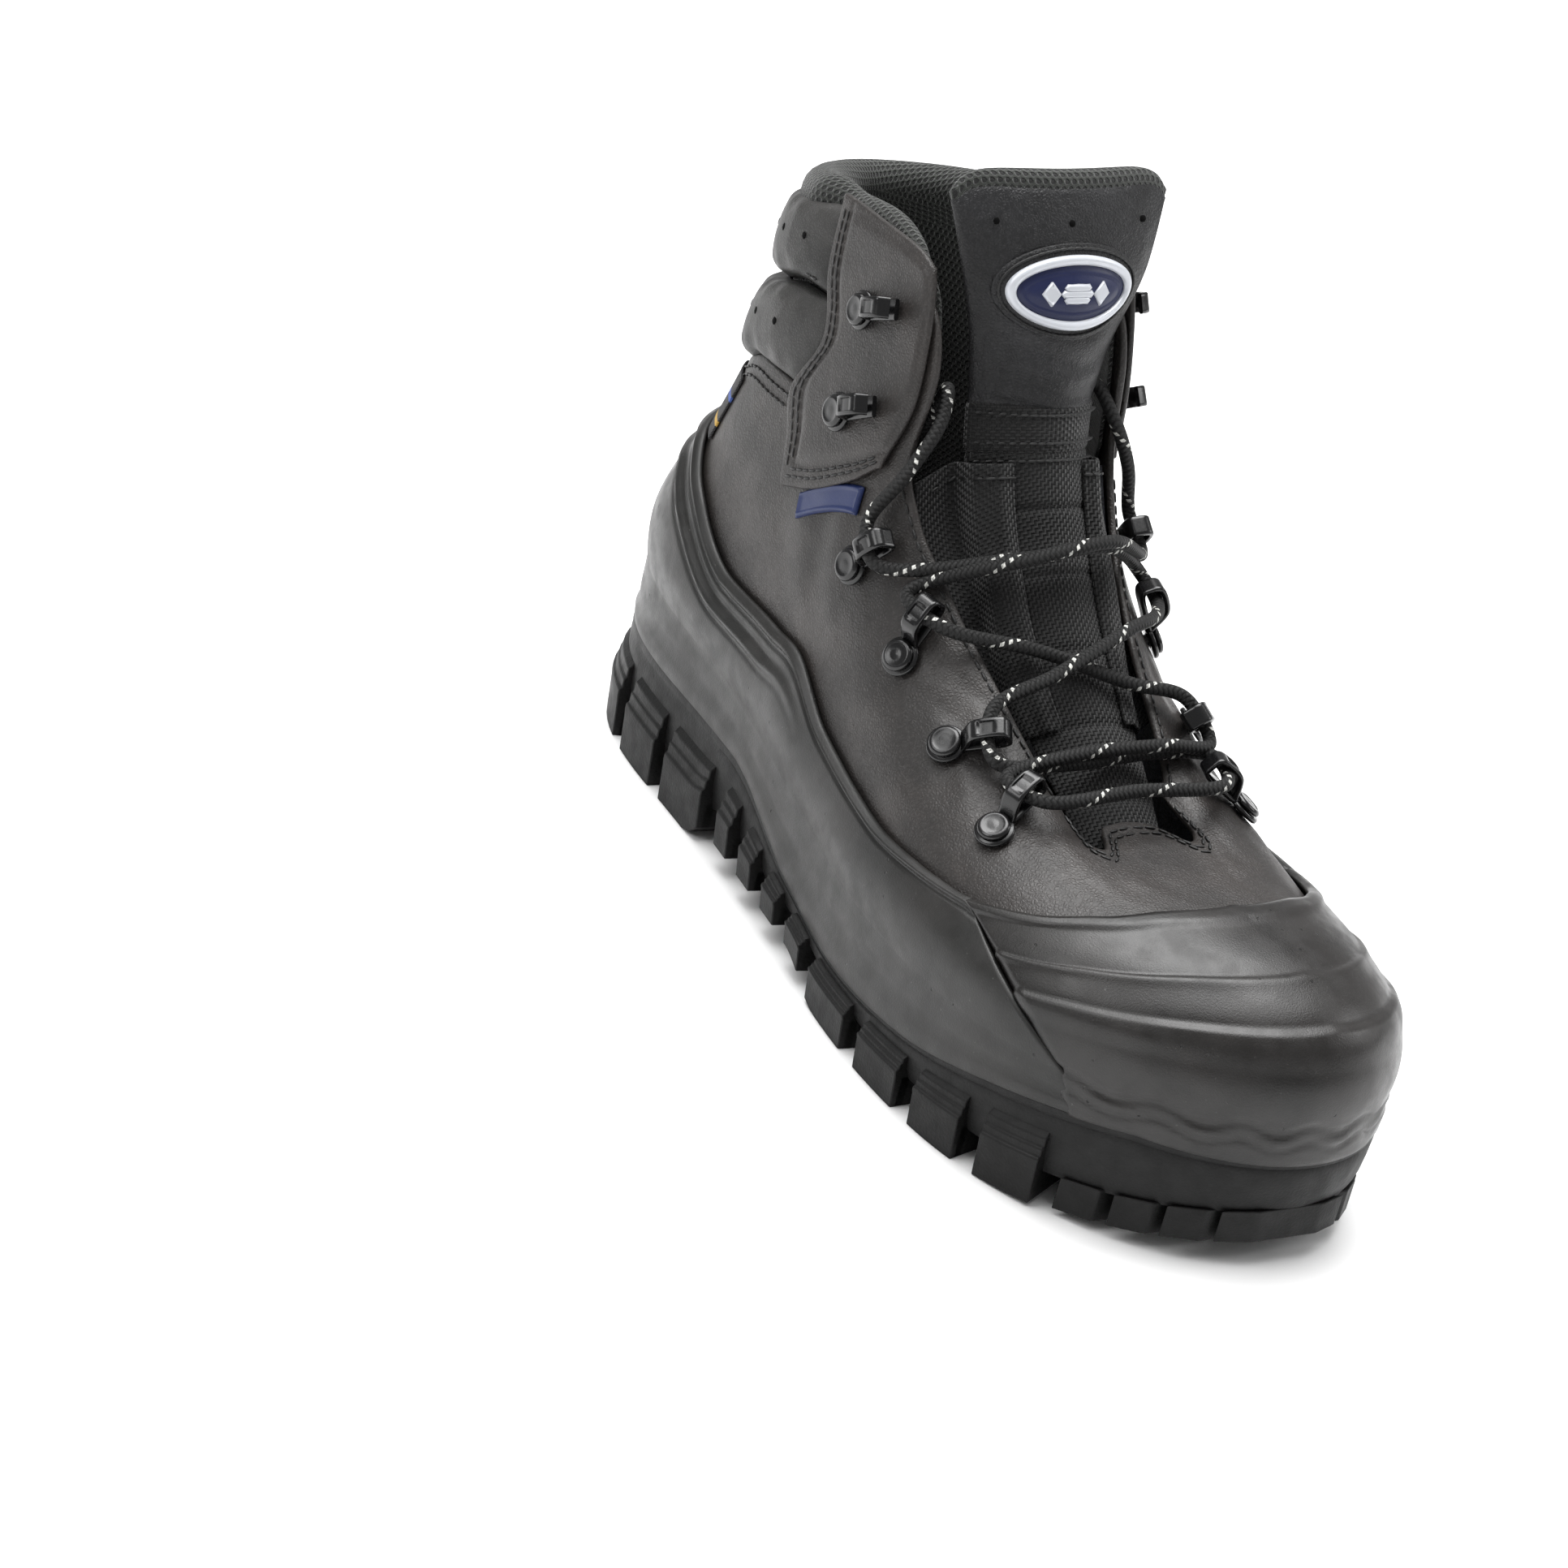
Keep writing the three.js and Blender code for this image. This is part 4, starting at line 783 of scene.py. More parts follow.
@dataclass(frozen=True)
class SpacerMesh(Finish):
    """Knitted spacer mesh: two faces of yarn held apart, with a honeycomb of round holes."""

    yarn: str = "#3d403c"
    hole_mm: float = 2.1
    depth_mm: float = 0.9

    def build(self, tree: Tree) -> tuple[Inputs, bpy.types.Node]:
        """A hole's middle is the nearer of two rectangular lattices, one set half a step from the other. The holes take
        the near-black base colour as painted shade over the face below.
        """
        step = (1000 / self.hole_mm, 1000 / (self.hole_mm * math.sqrt(3)), 0.0)
        cloth = add(tree, "UVMap", uv_map="UVMap")
        at = add(tree, "VectorMath", (cloth, step), operation="MULTIPLY")
        far = []
        for offset in (0.0, 0.5):
            off = add(tree, "VectorMath", (at, (offset,) * 3), operation="ADD")
            off = add(tree, "VectorMath", (off,), operation="FRACTION")
            off = add(tree, "VectorMath", (off, (0.5, 0.5, 0.0)), operation="SUBTRACT")
            off = add(tree, "VectorMath", (off, (1.0, math.sqrt(3), 0.0)), operation="MULTIPLY")
            far.append(add(tree, "VectorMath", (off,), operation="LENGTH").outputs["Value"])
        near = add(tree, "Math", far, operation="MINIMUM")
        wall = add(tree, "MapRange", (near, 0.26, 0.42), **EASED)
        yarn = add(tree, "TexNoise", cloudy(self.place(tree), 0.4))
        frayed = add(tree, "MapRange", (yarn, 0.2, 0.8, 0.6, 1.0), **EASED)
        share = add(tree, "Math", (wall, frayed), operation="MULTIPLY")
        # yarn colour on the walls; the base colour in the holes is painted shade
        shade = add(tree, "Mix", {0: share, 6: colour(self.base), 7: colour(self.yarn)}, **COLOURS)
        height = add(tree, "Math", (yarn, 0.2, wall), operation="MULTIPLY_ADD")
        return {"Base Color": shade.outputs[2], "Sheen Weight": 0.2}, height


@dataclass(frozen=True)
class Braid(Finish):
    """Round polyester braid, with a pale fleck yarn that runs round it in a slow spiral."""

    thread: str = "#262627"
    fleck: str = "#c9c9c4"
    plait_mm: float = 1.5
    spiral_mm: float = 20.0
    step_mm: float = 2.2
    fleck_wide: float = 0.11
    fleck_long: float = 0.46

    def build(self, tree: Tree) -> tuple[Inputs, bpy.types.Node]:
        """Two sets of diagonals cross like a weave; a fleck shows where the spiral meets every other plait. The colour
        is painted shade between the plaits and a painted highlight on their crowns.
        """
        along, turn = self.cloth(tree)
        plaits = add(tree, "Math", (along, 1000 / self.plait_mm), operation="MULTIPLY")
        ways = [add(tree, "Math", (turn, 4.0 * s, plaits), operation="MULTIPLY_ADD") for s in (1, -1)]
        height = crossing(tree, ways)
        spiral = add(tree, "Math", (along, 1000 / self.spiral_mm, turn), operation="MULTIPLY_ADD")
        steps = add(tree, "Math", (along, 1000 / self.step_mm), operation="MULTIPLY")
        fleck = add(tree, "MapRange", (height, 0.05, 0.3), **EASED)
        for place, share in ((spiral, self.fleck_wide), (steps, self.fleck_long)):
            part = add(tree, "Math", (place,), operation="FRACT")
            part = add(tree, "Math", (part, share), operation="LESS_THAN")
            fleck = add(tree, "Math", (part, fleck), operation="MULTIPLY")
        # darker at the plaits' edges as painted shade, paler on their crowns as a painted highlight
        share = add(tree, "MapRange", (height, 0.1, 0.9), **EASED)
        shade = add(tree, "Mix", {0: share, 6: colour(self.base), 7: colour(self.thread)}, **COLOURS)
        shade = add(tree, "Mix", {0: fleck, 6: shade.outputs[2], 7: colour(self.fleck)}, **COLOURS)
        return {"Base Color": shade.outputs[2]}, height


@dataclass(frozen=True)
class Moulded(Finish):
    """Injection-moulded plastic or rubber: even, with faint flow marks in its gloss and a fine moulded skin."""

    flow_mm: float = 6.0
    skin_mm: float = 0.6
    depth_mm: float = 0.05
    spread: float = 0.06
    metal: float = 0.0

    def build(self, tree: Tree) -> tuple[Inputs, bpy.types.Node]:
        """Flow marks vary the gloss; the mould's skin is fine noise."""
        at = self.place(tree)
        flow = add(tree, "TexNoise", cloudy(at, self.flow_mm, 4))
        gloss = add(tree, "MapRange", (flow, 0.3, 0.7, self.rough - self.spread, self.rough + self.spread), **EASED)
        return {"Metallic": self.metal, "Roughness": gloss}, add(tree, "TexNoise", cloudy(at, self.skin_mm))


@dataclass(frozen=True)
class Felt(Finish):
    """Needled felt or brushed lining: tangled fibres with a soft sheen."""

    fibre: str = "#4a4c52"

    def build(self, tree: Tree) -> tuple[Inputs, bpy.types.Node]:
        """Fibres are noise drawn out at two scales."""
        at = self.place(tree)
        fine, coarse = add(tree, "TexNoise", cloudy(at, 0.5, 4)), add(tree, "TexNoise", cloudy(at, 3))
        tangle = add(tree, "Math", (coarse, 0.4), operation="MULTIPLY")
        tangle = add(tree, "Math", (fine, 0.6, tangle), operation="MULTIPLY_ADD")
        share = add(tree, "MapRange", (tangle, 0.35, 0.65), **EASED)
        shade = add(tree, "Mix", {0: share, 6: colour(self.base), 7: colour(self.fibre)}, **COLOURS)
        return {"Base Color": shade.outputs[2], "Sheen Weight": 0.3}, tangle


@dataclass(frozen=True)
class WovenTag(Woven):
    """Narrow satin ribbon: black, with two small bars woven in colour."""

    bars: tuple = ((0.0042, "#c9a13a"), (0.0128, "#3f5fae"))
    bar: float = 0.0016

    def build(self, tree: Tree) -> tuple[Inputs, bpy.types.Node]:
        """The weave, with a bar of each colour at its own height on the ribbon."""
        sockets, height = Woven.build(self, tree)
        shade = sockets["Base Color"]
        up = self.cloth(tree)[1]
        for low, thread in self.bars:
            over = add(tree, "Math", (up, low), operation="GREATER_THAN")
            under = add(tree, "Math", (up, low + self.bar), operation="LESS_THAN")
            within = add(tree, "Math", (over, under), operation="MULTIPLY")
            shade = add(tree, "Mix", {0: within, 6: shade, 7: colour(thread)}, **COLOURS).outputs[2]
        return {**sockets, "Base Color": shade}, height


# Smooth pebbled upper leather, warm charcoal, dull with a soft shine on its high spots.
UPPER_LEATHER = GrainLeather(
    "full-grain leather, rolled", "#201e1d", 0.45, gleam=0.4, high="#35312f", grain_mm=0.95, depth_mm=0.13
)
# Softer, finer leather puffed over foam; it takes broader highlights.
PAD_LEATHER = GrainLeather(
    "garment leather over foam", "#212120", 0.5, gleam=0.35, high="#363534", grain_mm=0.8, depth_mm=0.12, crease_mm=6
)
# The tongue's thin leather, creased by being folded.
TONGUE_LEATHER = GrainLeather(
    "tongue leather, folded", "#151516", 0.48, gleam=0.3, high="#28282a", grain_mm=0.9, depth_mm=0.2, crease_mm=5
)
SOLE_FOAM = MouldedFoam("polyurethane midsole, poured", "#191918", 0.4, gleam=0.36, high="#272625")
GUARD_FOAM = MouldedFoam("polyurethane toe guard, moulded", "#141312", 0.36, gleam=0.4, high="#242221")
# Blacker and duller than the midsole, with a fine moulded skin.
TREAD_RUBBER = Moulded("nitrile rubber outsole, pressed", "#0b0b0b", 0.55, gleam=0.25, skin_mm=0.8, depth_mm=0.12)
# In the woven finishes, the thread colour is a painted highlight on the threads' crowns.
BALLISTIC = Woven("ballistic nylon, basket woven", "#030303", 0.65, gleam=0.2, thread="#131313", pitch_mm=1.0)
WEBBING = Woven("nylon webbing, ribbed", "#030303", 0.6, gleam=0.2, thread="#131313", pitch_mm=0.8, stretch=1.6)
# Its base colour fills the mesh's holes as painted shade; the yarn is its own colour.
COLLAR_MESH = SpacerMesh("spacer mesh, knitted", "#060706", 0.8, gleam=0.3, yarn="#2b2e2a")
LINING_CLOTH = Felt("brushed textile lining", "#1b1c1e", 0.95, gleam=0.3)
FOOTBED_FELT = Felt("footbed felt, needled", "#17191c", 0.95, gleam=0.3)
BOARD_FIBRE = Felt("fibre board, pressed", "#a8987c", 0.9, fibre="#c0b193")
STEEL_SHEET = Moulded("steel sheet, pressed", "#9a9da0", 0.36, metal=1.0, depth_mm=0.02)
# Near black and shiny, so the hooks show bright edges.
GLOSS_NYLON = Moulded("glass-filled nylon, injection moulded", "#0c0c0d", 0.22, depth_mm=0.02)
# Its thread colour is a painted highlight on the plaits' crowns.
LACE_BRAID = Braid("polyester lace, round braided", "#060606", 0.7, gleam=0.3, thread="#1b1b1b")
THREAD = Moulded("bonded nylon thread, twisted", "#0d0d0d", 0.5, skin_mm=0.3, depth_mm=0.1)
# Near-black beads stand for the punched holes: painted shade.
HOLE_SHADE = Moulded("punched hole, raw edge", "#030303", 0.9, gleam=0.1)
SILVER_RUBBER = Moulded("moulded badge rubber, silver painted", "#c3c6cc", 0.38, metal=0.25)
NAVY_RUBBER = Moulded("moulded badge rubber, navy", "#161d40", 0.42, gleam=0.35)
LABEL_RUBBER = Moulded("moulded label rubber, navy", "#1e2a52", 0.45, gleam=0.35)
TAG_RIBBON = WovenTag("woven ribbon tag", "#08080a", 0.7, gleam=0.3, thread="#18181b", pitch_mm=0.5)


# ---- Rows of stitches and holes ----


@dataclass(frozen=True)
class StitchRow:
    """Even places along a line on the last, lifted off it.

    Attributes:
        places: (column, row) points that the line goes through, on the outer side.
        lift: above the last, in mm.
        pitch: from one place to the next, in mm.
        offset: how far the row lies to the side of the line, in mm.
    """

    places: Array
    lift: float
    pitch: float = 3.4
    offset: float = 0.0

    def on(self, side: Side) -> tuple[Array, Array, Array]:
        """Places, directions and normals on one side: even steps of the length of the line through the points.

        Args:
            side: which side of the foot; the inner one takes the mirrored columns.

        Returns:
            Three arrays, (n, 3) each.
        """
        line = through(self.places, 24)
        c = line[:, 0] if side is Side.OUTER else COLUMNS - line[:, 0]
        path = LAST.on(c, line[:, 1], self.lift)
        far = lengths_along(path)
        at = np.arange(self.pitch / 2, far[-1], self.pitch)
        c, r = np.interp(at, far, c), np.interp(at, far, line[:, 1])
        normal = LAST.normal(c, r)
        along = unit(np.stack([np.interp(at, far, g) for g in np.gradient(path, axis=0).T], axis=-1))
        along = unit(along - normal * np.sum(along * normal, axis=1, keepdims=True))
        return LAST.on(c, r, self.lift) + np.cross(normal, along) * self.offset, along, normal


def sew(name: str, rows: list[tuple[Array, Array, Array]], slot: str, body: str = "boot") -> bpy.types.Object:
    """Makes one piece of every stitch of some rows.

    Args:
        name: the piece's name.
        rows: places, directions and normals of each row.
        slot: the material slot of what they are sewn to.
        body: the body that it rides on.

    Returns:
        The object.
    """
    piece = Piece(name)
    for at, along, normal in rows:
        piece.beads(at, along, normal, (1.35, 0.42, 0.34))
    return piece.make(THREAD, body, slot)


def punch(
    name: str, rows: list[tuple[Array, Array, Array]], radius: float, slot: str, body: str = "boot"
) -> bpy.types.Object:
    """Makes the painted shade of every hole of some rows: a flattened near-black bead sunk in the surface.

    Args:
        name: the piece's name.
        rows: places, directions and normals of each row.
        radius: of a hole, in mm.
        slot: the material slot of what they are punched in.
        body: the body that it rides on.

    Returns:
        The object.
    """
    piece = Piece(name)
    for at, along, normal in rows:
        piece.beads(at, along, normal, (radius, radius, 0.22))
    return piece.make(HOLE_SHADE, body, slot)


# ---- Sole ----


@dataclass
class Sole:
    """The moulded midsole and toe guard, and the lugged rubber under them."""

    wall: float = 5.0
    top_edge: float = 2.5
    tread: float = 8.0
    cup: float = 6.0
    floor_inset: float = 2.6
    floor_thick: float = 5.0
    split_gap: float = 0.004  # columns between the midsole's end and the guard's
    toe_spring: float = 9.0
    arch_lift: float = 6.0
    widest_row: float = 0.7
    parting_line: Pairs = ((0, 31), (96, 31), (140, 19), (172, 15.5), (208, 18), (244, 25), (278, 31))
    wall_top: Pairs = (
        (3.9, 1.95), (4.5, 1.78), (5.2, 1.6), (6.2, 1.55), (6.9, 1.72), (7.4, 1.58), (8.3, 1.44), (9.2, 1.85),
        (9.8, 2.15), (11, 2.25),
    )
    guard_top: Pairs = ((0, 3.38), (1.5, 3.2), (2.6, 2.77), (3.3, 2.3), (3.9, 1.93))
    split_low: float = 2.5
    split_high: float = 3.9
    lugs: tuple[tuple[float, float, float], ...] = (
        (2.62, 3.12, 30), (3.32, 3.78, 26), (3.98, 4.5, 24), (4.72, 5.34, 24), (5.56, 5.86, 14), (6.1, 6.36, 12),
        (6.6, 6.86, 12), (7.1, 7.36, 14), (7.7, 8.42, 26), (8.62, 9.2, 24), (9.4, 10.1, 22),
    )
    toe_bars: Pairs = ((0.5, 0.95), (1.1, 1.5), (1.62, 1.98), (2.1, 2.45))

    def outline(self, c: Array, inset: Array | float, z: Array | float) -> Array:
        """The sole's outline from above, moved inwards: the widest row of the last plus the level normal's length."""
        p = LAST.point(c, self.widest_row)
        t = LAST.point(np.add(c, 0.002), self.widest_row) - LAST.point(np.subtract(c, 0.002), self.widest_row)
        out = unit(np.stack([t[..., 1], -t[..., 0], np.zeros_like(t[..., 0])], axis=-1))
        out = out * np.sign(np.sum(out * LAST.normal(c, self.widest_row), axis=-1, keepdims=True))
        p = p + out * (self.wall - np.asarray(inset, float))[..., None]
        p[..., 2] = z
        return p

    def ground(self, x: Array) -> Array:
        """Height of the tread's face: it curves up under the toe and a little at the heel."""
        return self.toe_spring * np.clip((x - 238) / 64, 0, 1) ** 2 + 3 * np.clip((10 - x) / 12, 0, 1) ** 2

    def waist(self, x: Array) -> Array:
        """How much a place belongs to the waist of the tread, from the heel breast to the ball."""
        return smooth((x - 84) / 10) * (1 - smooth((x - 150) / 24))

    def root(self, x: Array) -> Array:
        """Height of the rubber between the lugs."""
        return self.ground(x) + self.tread + self.arch_lift * self.waist(x) / 2

    def parting(self, x: Array) -> Array:
        """Height of the line between the rubber and the foam."""
        return flowing(self.parting_line, x)

    def moulded(self, c: Array, top: Array, share: Array, lift: Array, inner_lift: float) -> tuple[Array, Array]:
        """A moulded wall's two sides: straight up from the parting line, then over the last.

        Below an eighth of the height it is a straight line from the outline to the last; above, it is the last lifted.

        Args:
            c: columns, (rows, columns).
            top: the wall's top row of the last.
            share: how far up each place is.
            lift: the outside above the last, in mm.
            inner_lift: the inside above the last, in mm.

        Returns:
            The outside and the inside.
        """
        low = self.parting(self.outline(c, 0, 0)[..., 0]) + 0.35
        first = 0.125
        sides = []
        for foot_inset, first_row, height in ((0.0, 0.5, lift), (self.cup - 0.8, 0.1, np.full_like(lift, inner_lift))):
            over = LAST.on(c, mix(first_row, top, np.maximum(share, first)), height)
            foot = self.outline(c, foot_inset, low)
            if foot_inset == 0:
                foot[..., :2] += (LAST.normal(c, self.widest_row) * (lift - self.wall)[..., None])[..., :2]
            sides.append(mix(foot, over, np.clip(share / first, 0, 1)[..., None]))
        return sides[0], sides[1]

    def make_midsole(self) -> None:
        """The foam's wall: a rolled bead along its wavy top, a fin behind, and a mould line at its foot."""
        share = np.linspace(0, 1, 56)[:, None]
        end = self.split_low + self.split_gap
        base = np.linspace(end, COLUMNS - end, 460)[None]
        outer = LAST.outer_column(base)
        moved = outer + (self.split_high - self.split_low) * share * np.clip(1 - (outer - self.split_low) / 4, 0, 1)
        c = np.where(base > HEEL, COLUMNS - moved, moved)
        side = LAST.outer_column(c)
        top = flowing(self.wall_top, side)
        foot = self.outline(c[-1:], 0, self.parting(LAST.point(c[-1:], 0.7)[..., 0]))
        height = np.linalg.norm(LAST.on(c[-1:], top[-1:], 3) - foot, axis=-1)
        below, above = (1 - share) * height, share * height  # mm from the top edge, and from the parting line
        lift = mix(self.wall, self.top_edge, smooth(share * 1.6 - 0.6)) + 0.8 * wave(share)
        lift = lift + 1.1 * bump((below - 1.5) / 1.1) - 0.5 * bump((below - 4.1) / 0.8)
        fin = smooth((side - 6.4) / 1.2)
        grooves = 0.5 * bump((below - 15) / 1.1) + 0.4 * bump((below - 8) / 1.1)
        lift = lift + fin * (1.3 * bump((below - 11.5) / 1.5) - grooves)
        lift = lift - 0.5 * bump((above - 2.4) / 0.45) + 0.4 * bump((above - 0.9) / 0.8)
        piece = Piece("midsole_wall")
        piece.slab(*self.moulded(c, top, share * np.ones_like(c), lift, 0.8), lip=4)
        piece.make(SOLE_FOAM, slot="midsole", replaces=("midsole",))

    def make_guard(self) -> None:
        """The toe guard: a bumper ridge, a second ridge and a rolled top edge, over wavy grooves."""
        share = np.linspace(0, 1, 96)[:, None]
        base = np.linspace(-self.split_low, self.split_low, 240)[None]
        c = base * (1 + (self.split_high / self.split_low - 1) * share)
        top = flowing(self.guard_top, LAST.outer_column(c))
        profile = (
            (0, 5.4), (0.06, 5.6), (0.08, 5.2), (0.3, 5.7), (0.4, 6.5), (0.435, 6.4), (0.475, 5.0), (0.6, 4.5),
            (0.645, 4.7), (0.675, 3.7), (0.9, 3.0), (0.945, 3.6), (0.985, 3.4), (1, 3.0),
        )
        lift = eased(profile, share) * np.ones_like(c)
        run = np.linspace(-1, 1, 240)[None] * 110  # mm round the toe
        for line in (0.05, 0.1):
            swing = 0.012 * np.sin(run * 2 * np.pi / 34)
            lift = lift - 0.6 * bump((share - line - swing) / 0.01)
        piece = Piece("toe_guard_cap")
        piece.slab(*self.moulded(c, top, share * np.ones_like(c), lift, 0.8), lip=4)
        piece.make(GUARD_FOAM, slot="guard", replaces=("toe_guard",))

    def make_outsole(self) -> None:
        """The rubber cup with its floor, and the lugs that stand under it and climb its side."""
        c = np.linspace(0, COLUMNS, 400, endpoint=False)[None]
        x = self.outline(c, 0, 0)[..., 0]
        profile = np.array(
            [[2.4, 0], [1.7, 0.12], [0.9, 0.3], [0.4, 0.55], [0.1, 0.8], [0.5, 0.87], [0.0, 0.92], [0.0, 1.0]]
        )
        inset, rise = profile[:, :1], profile[:, 1:]
        z = mix(self.root(x), self.parting(x), rise)
        cup = Piece("outsole_cup")
        c = c * np.ones_like(inset)
        cup.slab(self.outline(c, inset, z), self.outline(c, self.cup, z), ring=True, lip=0)
        ends, across = np.linspace(0.12, 10.9, 110)[:, None], np.linspace(0, 1, 25)[None, :, None]
        x = self.outline(ends, 0, 0)[..., 0]
        sides = [self.outline(end, self.floor_inset, self.root(x)) for end in (ends, COLUMNS - ends)]
        floor = mix(*sides, across)
        cup.slab(floor, floor + np.array([0, 0, self.floor_thick]), lip=0)
        cup.make(TREAD_RUBBER, slot="outsole", replaces=("outsole",), sharp=40)
        lugs = Piece("outsole_lugs")
        for low, high, depth in self.lugs:
            for a, b in ((low, high), (COLUMNS - high, COLUMNS - low)):
                self.add_lug(lugs, a, b, depth)
        for low, high in self.toe_bars:
            edge = self.outline(np.array([[-low, low], [-high, high]]), 1, 0)
            grid = mix(edge[:, :1], edge[:, 1:], np.linspace(0, 1, 13)[None, :, None])
            foot, top = grid.copy(), grid.copy()
            foot[..., 2], top[..., 2] = self.ground(grid[..., 0]), self.root(grid[..., 0]) + 1
            lugs.slab(foot, top, lip=0)
        self.add_middle(lugs)
        lugs.make(TREAD_RUBBER, slot="outsole", bevel=0.7, sharp=35)

    def add_lug(self, piece: Piece, low: float, high: float, depth: float) -> None:
        """A lug between two columns: a block under the sole and a stepped one that climbs the cup's side."""
        c = np.linspace(low, high, 7)[None]
        x = self.outline(c, 0, 0)[..., 0]
        foot = self.ground(x) + self.arch_lift * self.waist(x)
        root, part = self.root(x), self.parting(x)
        rows = [(0.0, foot), (0.0, mix(root, part, 0.08))]
        block = [np.concatenate([self.outline(c, inset + far, z) for inset, z in rows]) for far in (0.0, depth)]
        piece.slab(*block, lip=0)
        steps = (
            (-2.1, 0.1), (-2.4, 0.2), (-2.4, 0.27), (-1.7, 0.3), (-1.7, 0.41), (-1.1, 0.44), (-1.1, 0.56), (0.4, 0.64),
        )
        rows = [(-1.2, foot), *((inset, mix(root, part, share)) for inset, share in steps)]
        outside = np.concatenate([self.outline(c, inset, z) for inset, z in rows])
        inside = np.concatenate([self.outline(c, self.cup / 2, z) for _, z in rows])
        piece.slab(outside, inside, lip=0)

    def add_middle(self, piece: Piece) -> None:
        """The middle of the tread: a disc under the ball with tapered lugs round it, and bars under the heel."""
        centre = np.array([196.0, -2.0])
        angle = np.linspace(0, 2 * np.pi, 8, endpoint=False) + 0.2
        for turn in angle:
            spread = np.array([-0.26, 0.26])
            radii = np.array([12.0, 23.0])
            ways = np.stack([np.cos(turn + spread), np.sin(turn + spread)], axis=-1)
            grid = ways[None] * radii[:, None, None]
            self.add_block(piece, grid + centre)
        axes = np.eye(3)
        low = float(self.ground(np.array(centre[0])))
        piece.lathe(np.array([*centre, low]), axes, np.array([[0.05, 0], [8, 0], [8, 9], [0.05, 9]]), turns=32)
        for x in (62.0, 46.0, 30.0):
            corners = np.array([[[x, -9.0], [x, 13.0]], [[x + 9, -9.0], [x + 9, 13.0]]])
            self.add_block(piece, corners)

    def add_block(self, piece: Piece, grid: Array) -> None:
        """A block between the tread's face and its root over a plan of four corners, (2, 2, 2)."""
        foot = np.concatenate([grid, self.ground(grid[..., :1])], axis=-1)
        top = np.concatenate([grid, self.root(grid[..., :1]) + 1], axis=-1)
        piece.slab(foot, top, lip=0)

    def make(self) -> None:
        """Makes every piece of the sole."""
        self.make_midsole()
        self.make_guard()
        self.make_outsole()


# ---- Upper ----


@dataclass
class Upper:
    """The leather of the vamp and quarters, sewn at its edges."""

    top: Pairs = (
        (0, 5.2), (0.6, 5.15), (1.5, 4.62), (2.1, 4.72), (2.7, 5.35), (4.5, 5.4), (5.6, 5.3), (6.5, 4.75), (7, 4.45),
        (7.5, 4.85), (8, 4.75), (8.5, 3.3), (9.4, 3.25), (10, 3), (11, 2.9),
    )

    def edge(self, c: Array | float) -> Array:
        """The row of the leather's top edge at a column."""
        return flowing(self.top, LAST.outer_column(c))

    def make(self) -> None:
        """The leather, with shallow creases where the toes flex it, and its stitching."""
        c = np.linspace(0, COLUMNS, 440, endpoint=False)[None]
        share = np.linspace(0, 1, 64)[:, None]
        row = mix(0.02, self.edge(c), share)
        side = LAST.outer_column(c)
        flex = bump((side - 4.6) / 0.9) * smooth((row - 2.2) / 0.8) * (1 - smooth((row - 4.6) / 0.5))
        ankle = bump((side - 7.6) / 0.8) * smooth((row - 1.7) / 0.5) * (1 - smooth((row - 3.2) / 0.5))
        crease = 0.35 * flex * np.sin(side * 11 + row * 3.1 + np.sin(row * 5))
        crease = crease + 0.4 * ankle * np.sin(side * 7 - row * 6)
        loose = 0.12 * np.sin(c * 5.3 + 2 * np.sin(row * 2.7)) * np.sin(row * 4.1 + c)
        lift = crease + loose * smooth((row - 1.5) / 0.5)
        piece = Piece("leather_upper")
        piece.slab(LAST.on(c, row, lift), LAST.on(c, row, -LEATHER), ring=True, lip=3)
        parts = ("vamp_leather", "quarter_leather_outer", "quarter_leather_inner")
        piece.make(UPPER_LEATHER, slot="leather", replaces=parts)
        rows = []
        for side_ in Side:
            for gap in (0.11, 0.21):
                c = np.linspace(8.75, HEEL, 12)
                rows.append(StitchRow(np.stack([c, self.edge(c) - gap], axis=-1), 0.25).on(side_))
            c = np.linspace(2.75, 6.9, 24)
            rows.append(StitchRow(np.stack([c, self.edge(c) - 0.13], axis=-1), 0.25).on(side_))
            c = np.linspace(0.05, 2.6, 16)
            for gap in (0.12, 0.24):
                rows.append(StitchRow(np.stack([c, self.edge(c) - gap], axis=-1), 0.25).on(side_))
        sew("leather_stitches", rows, "leather")


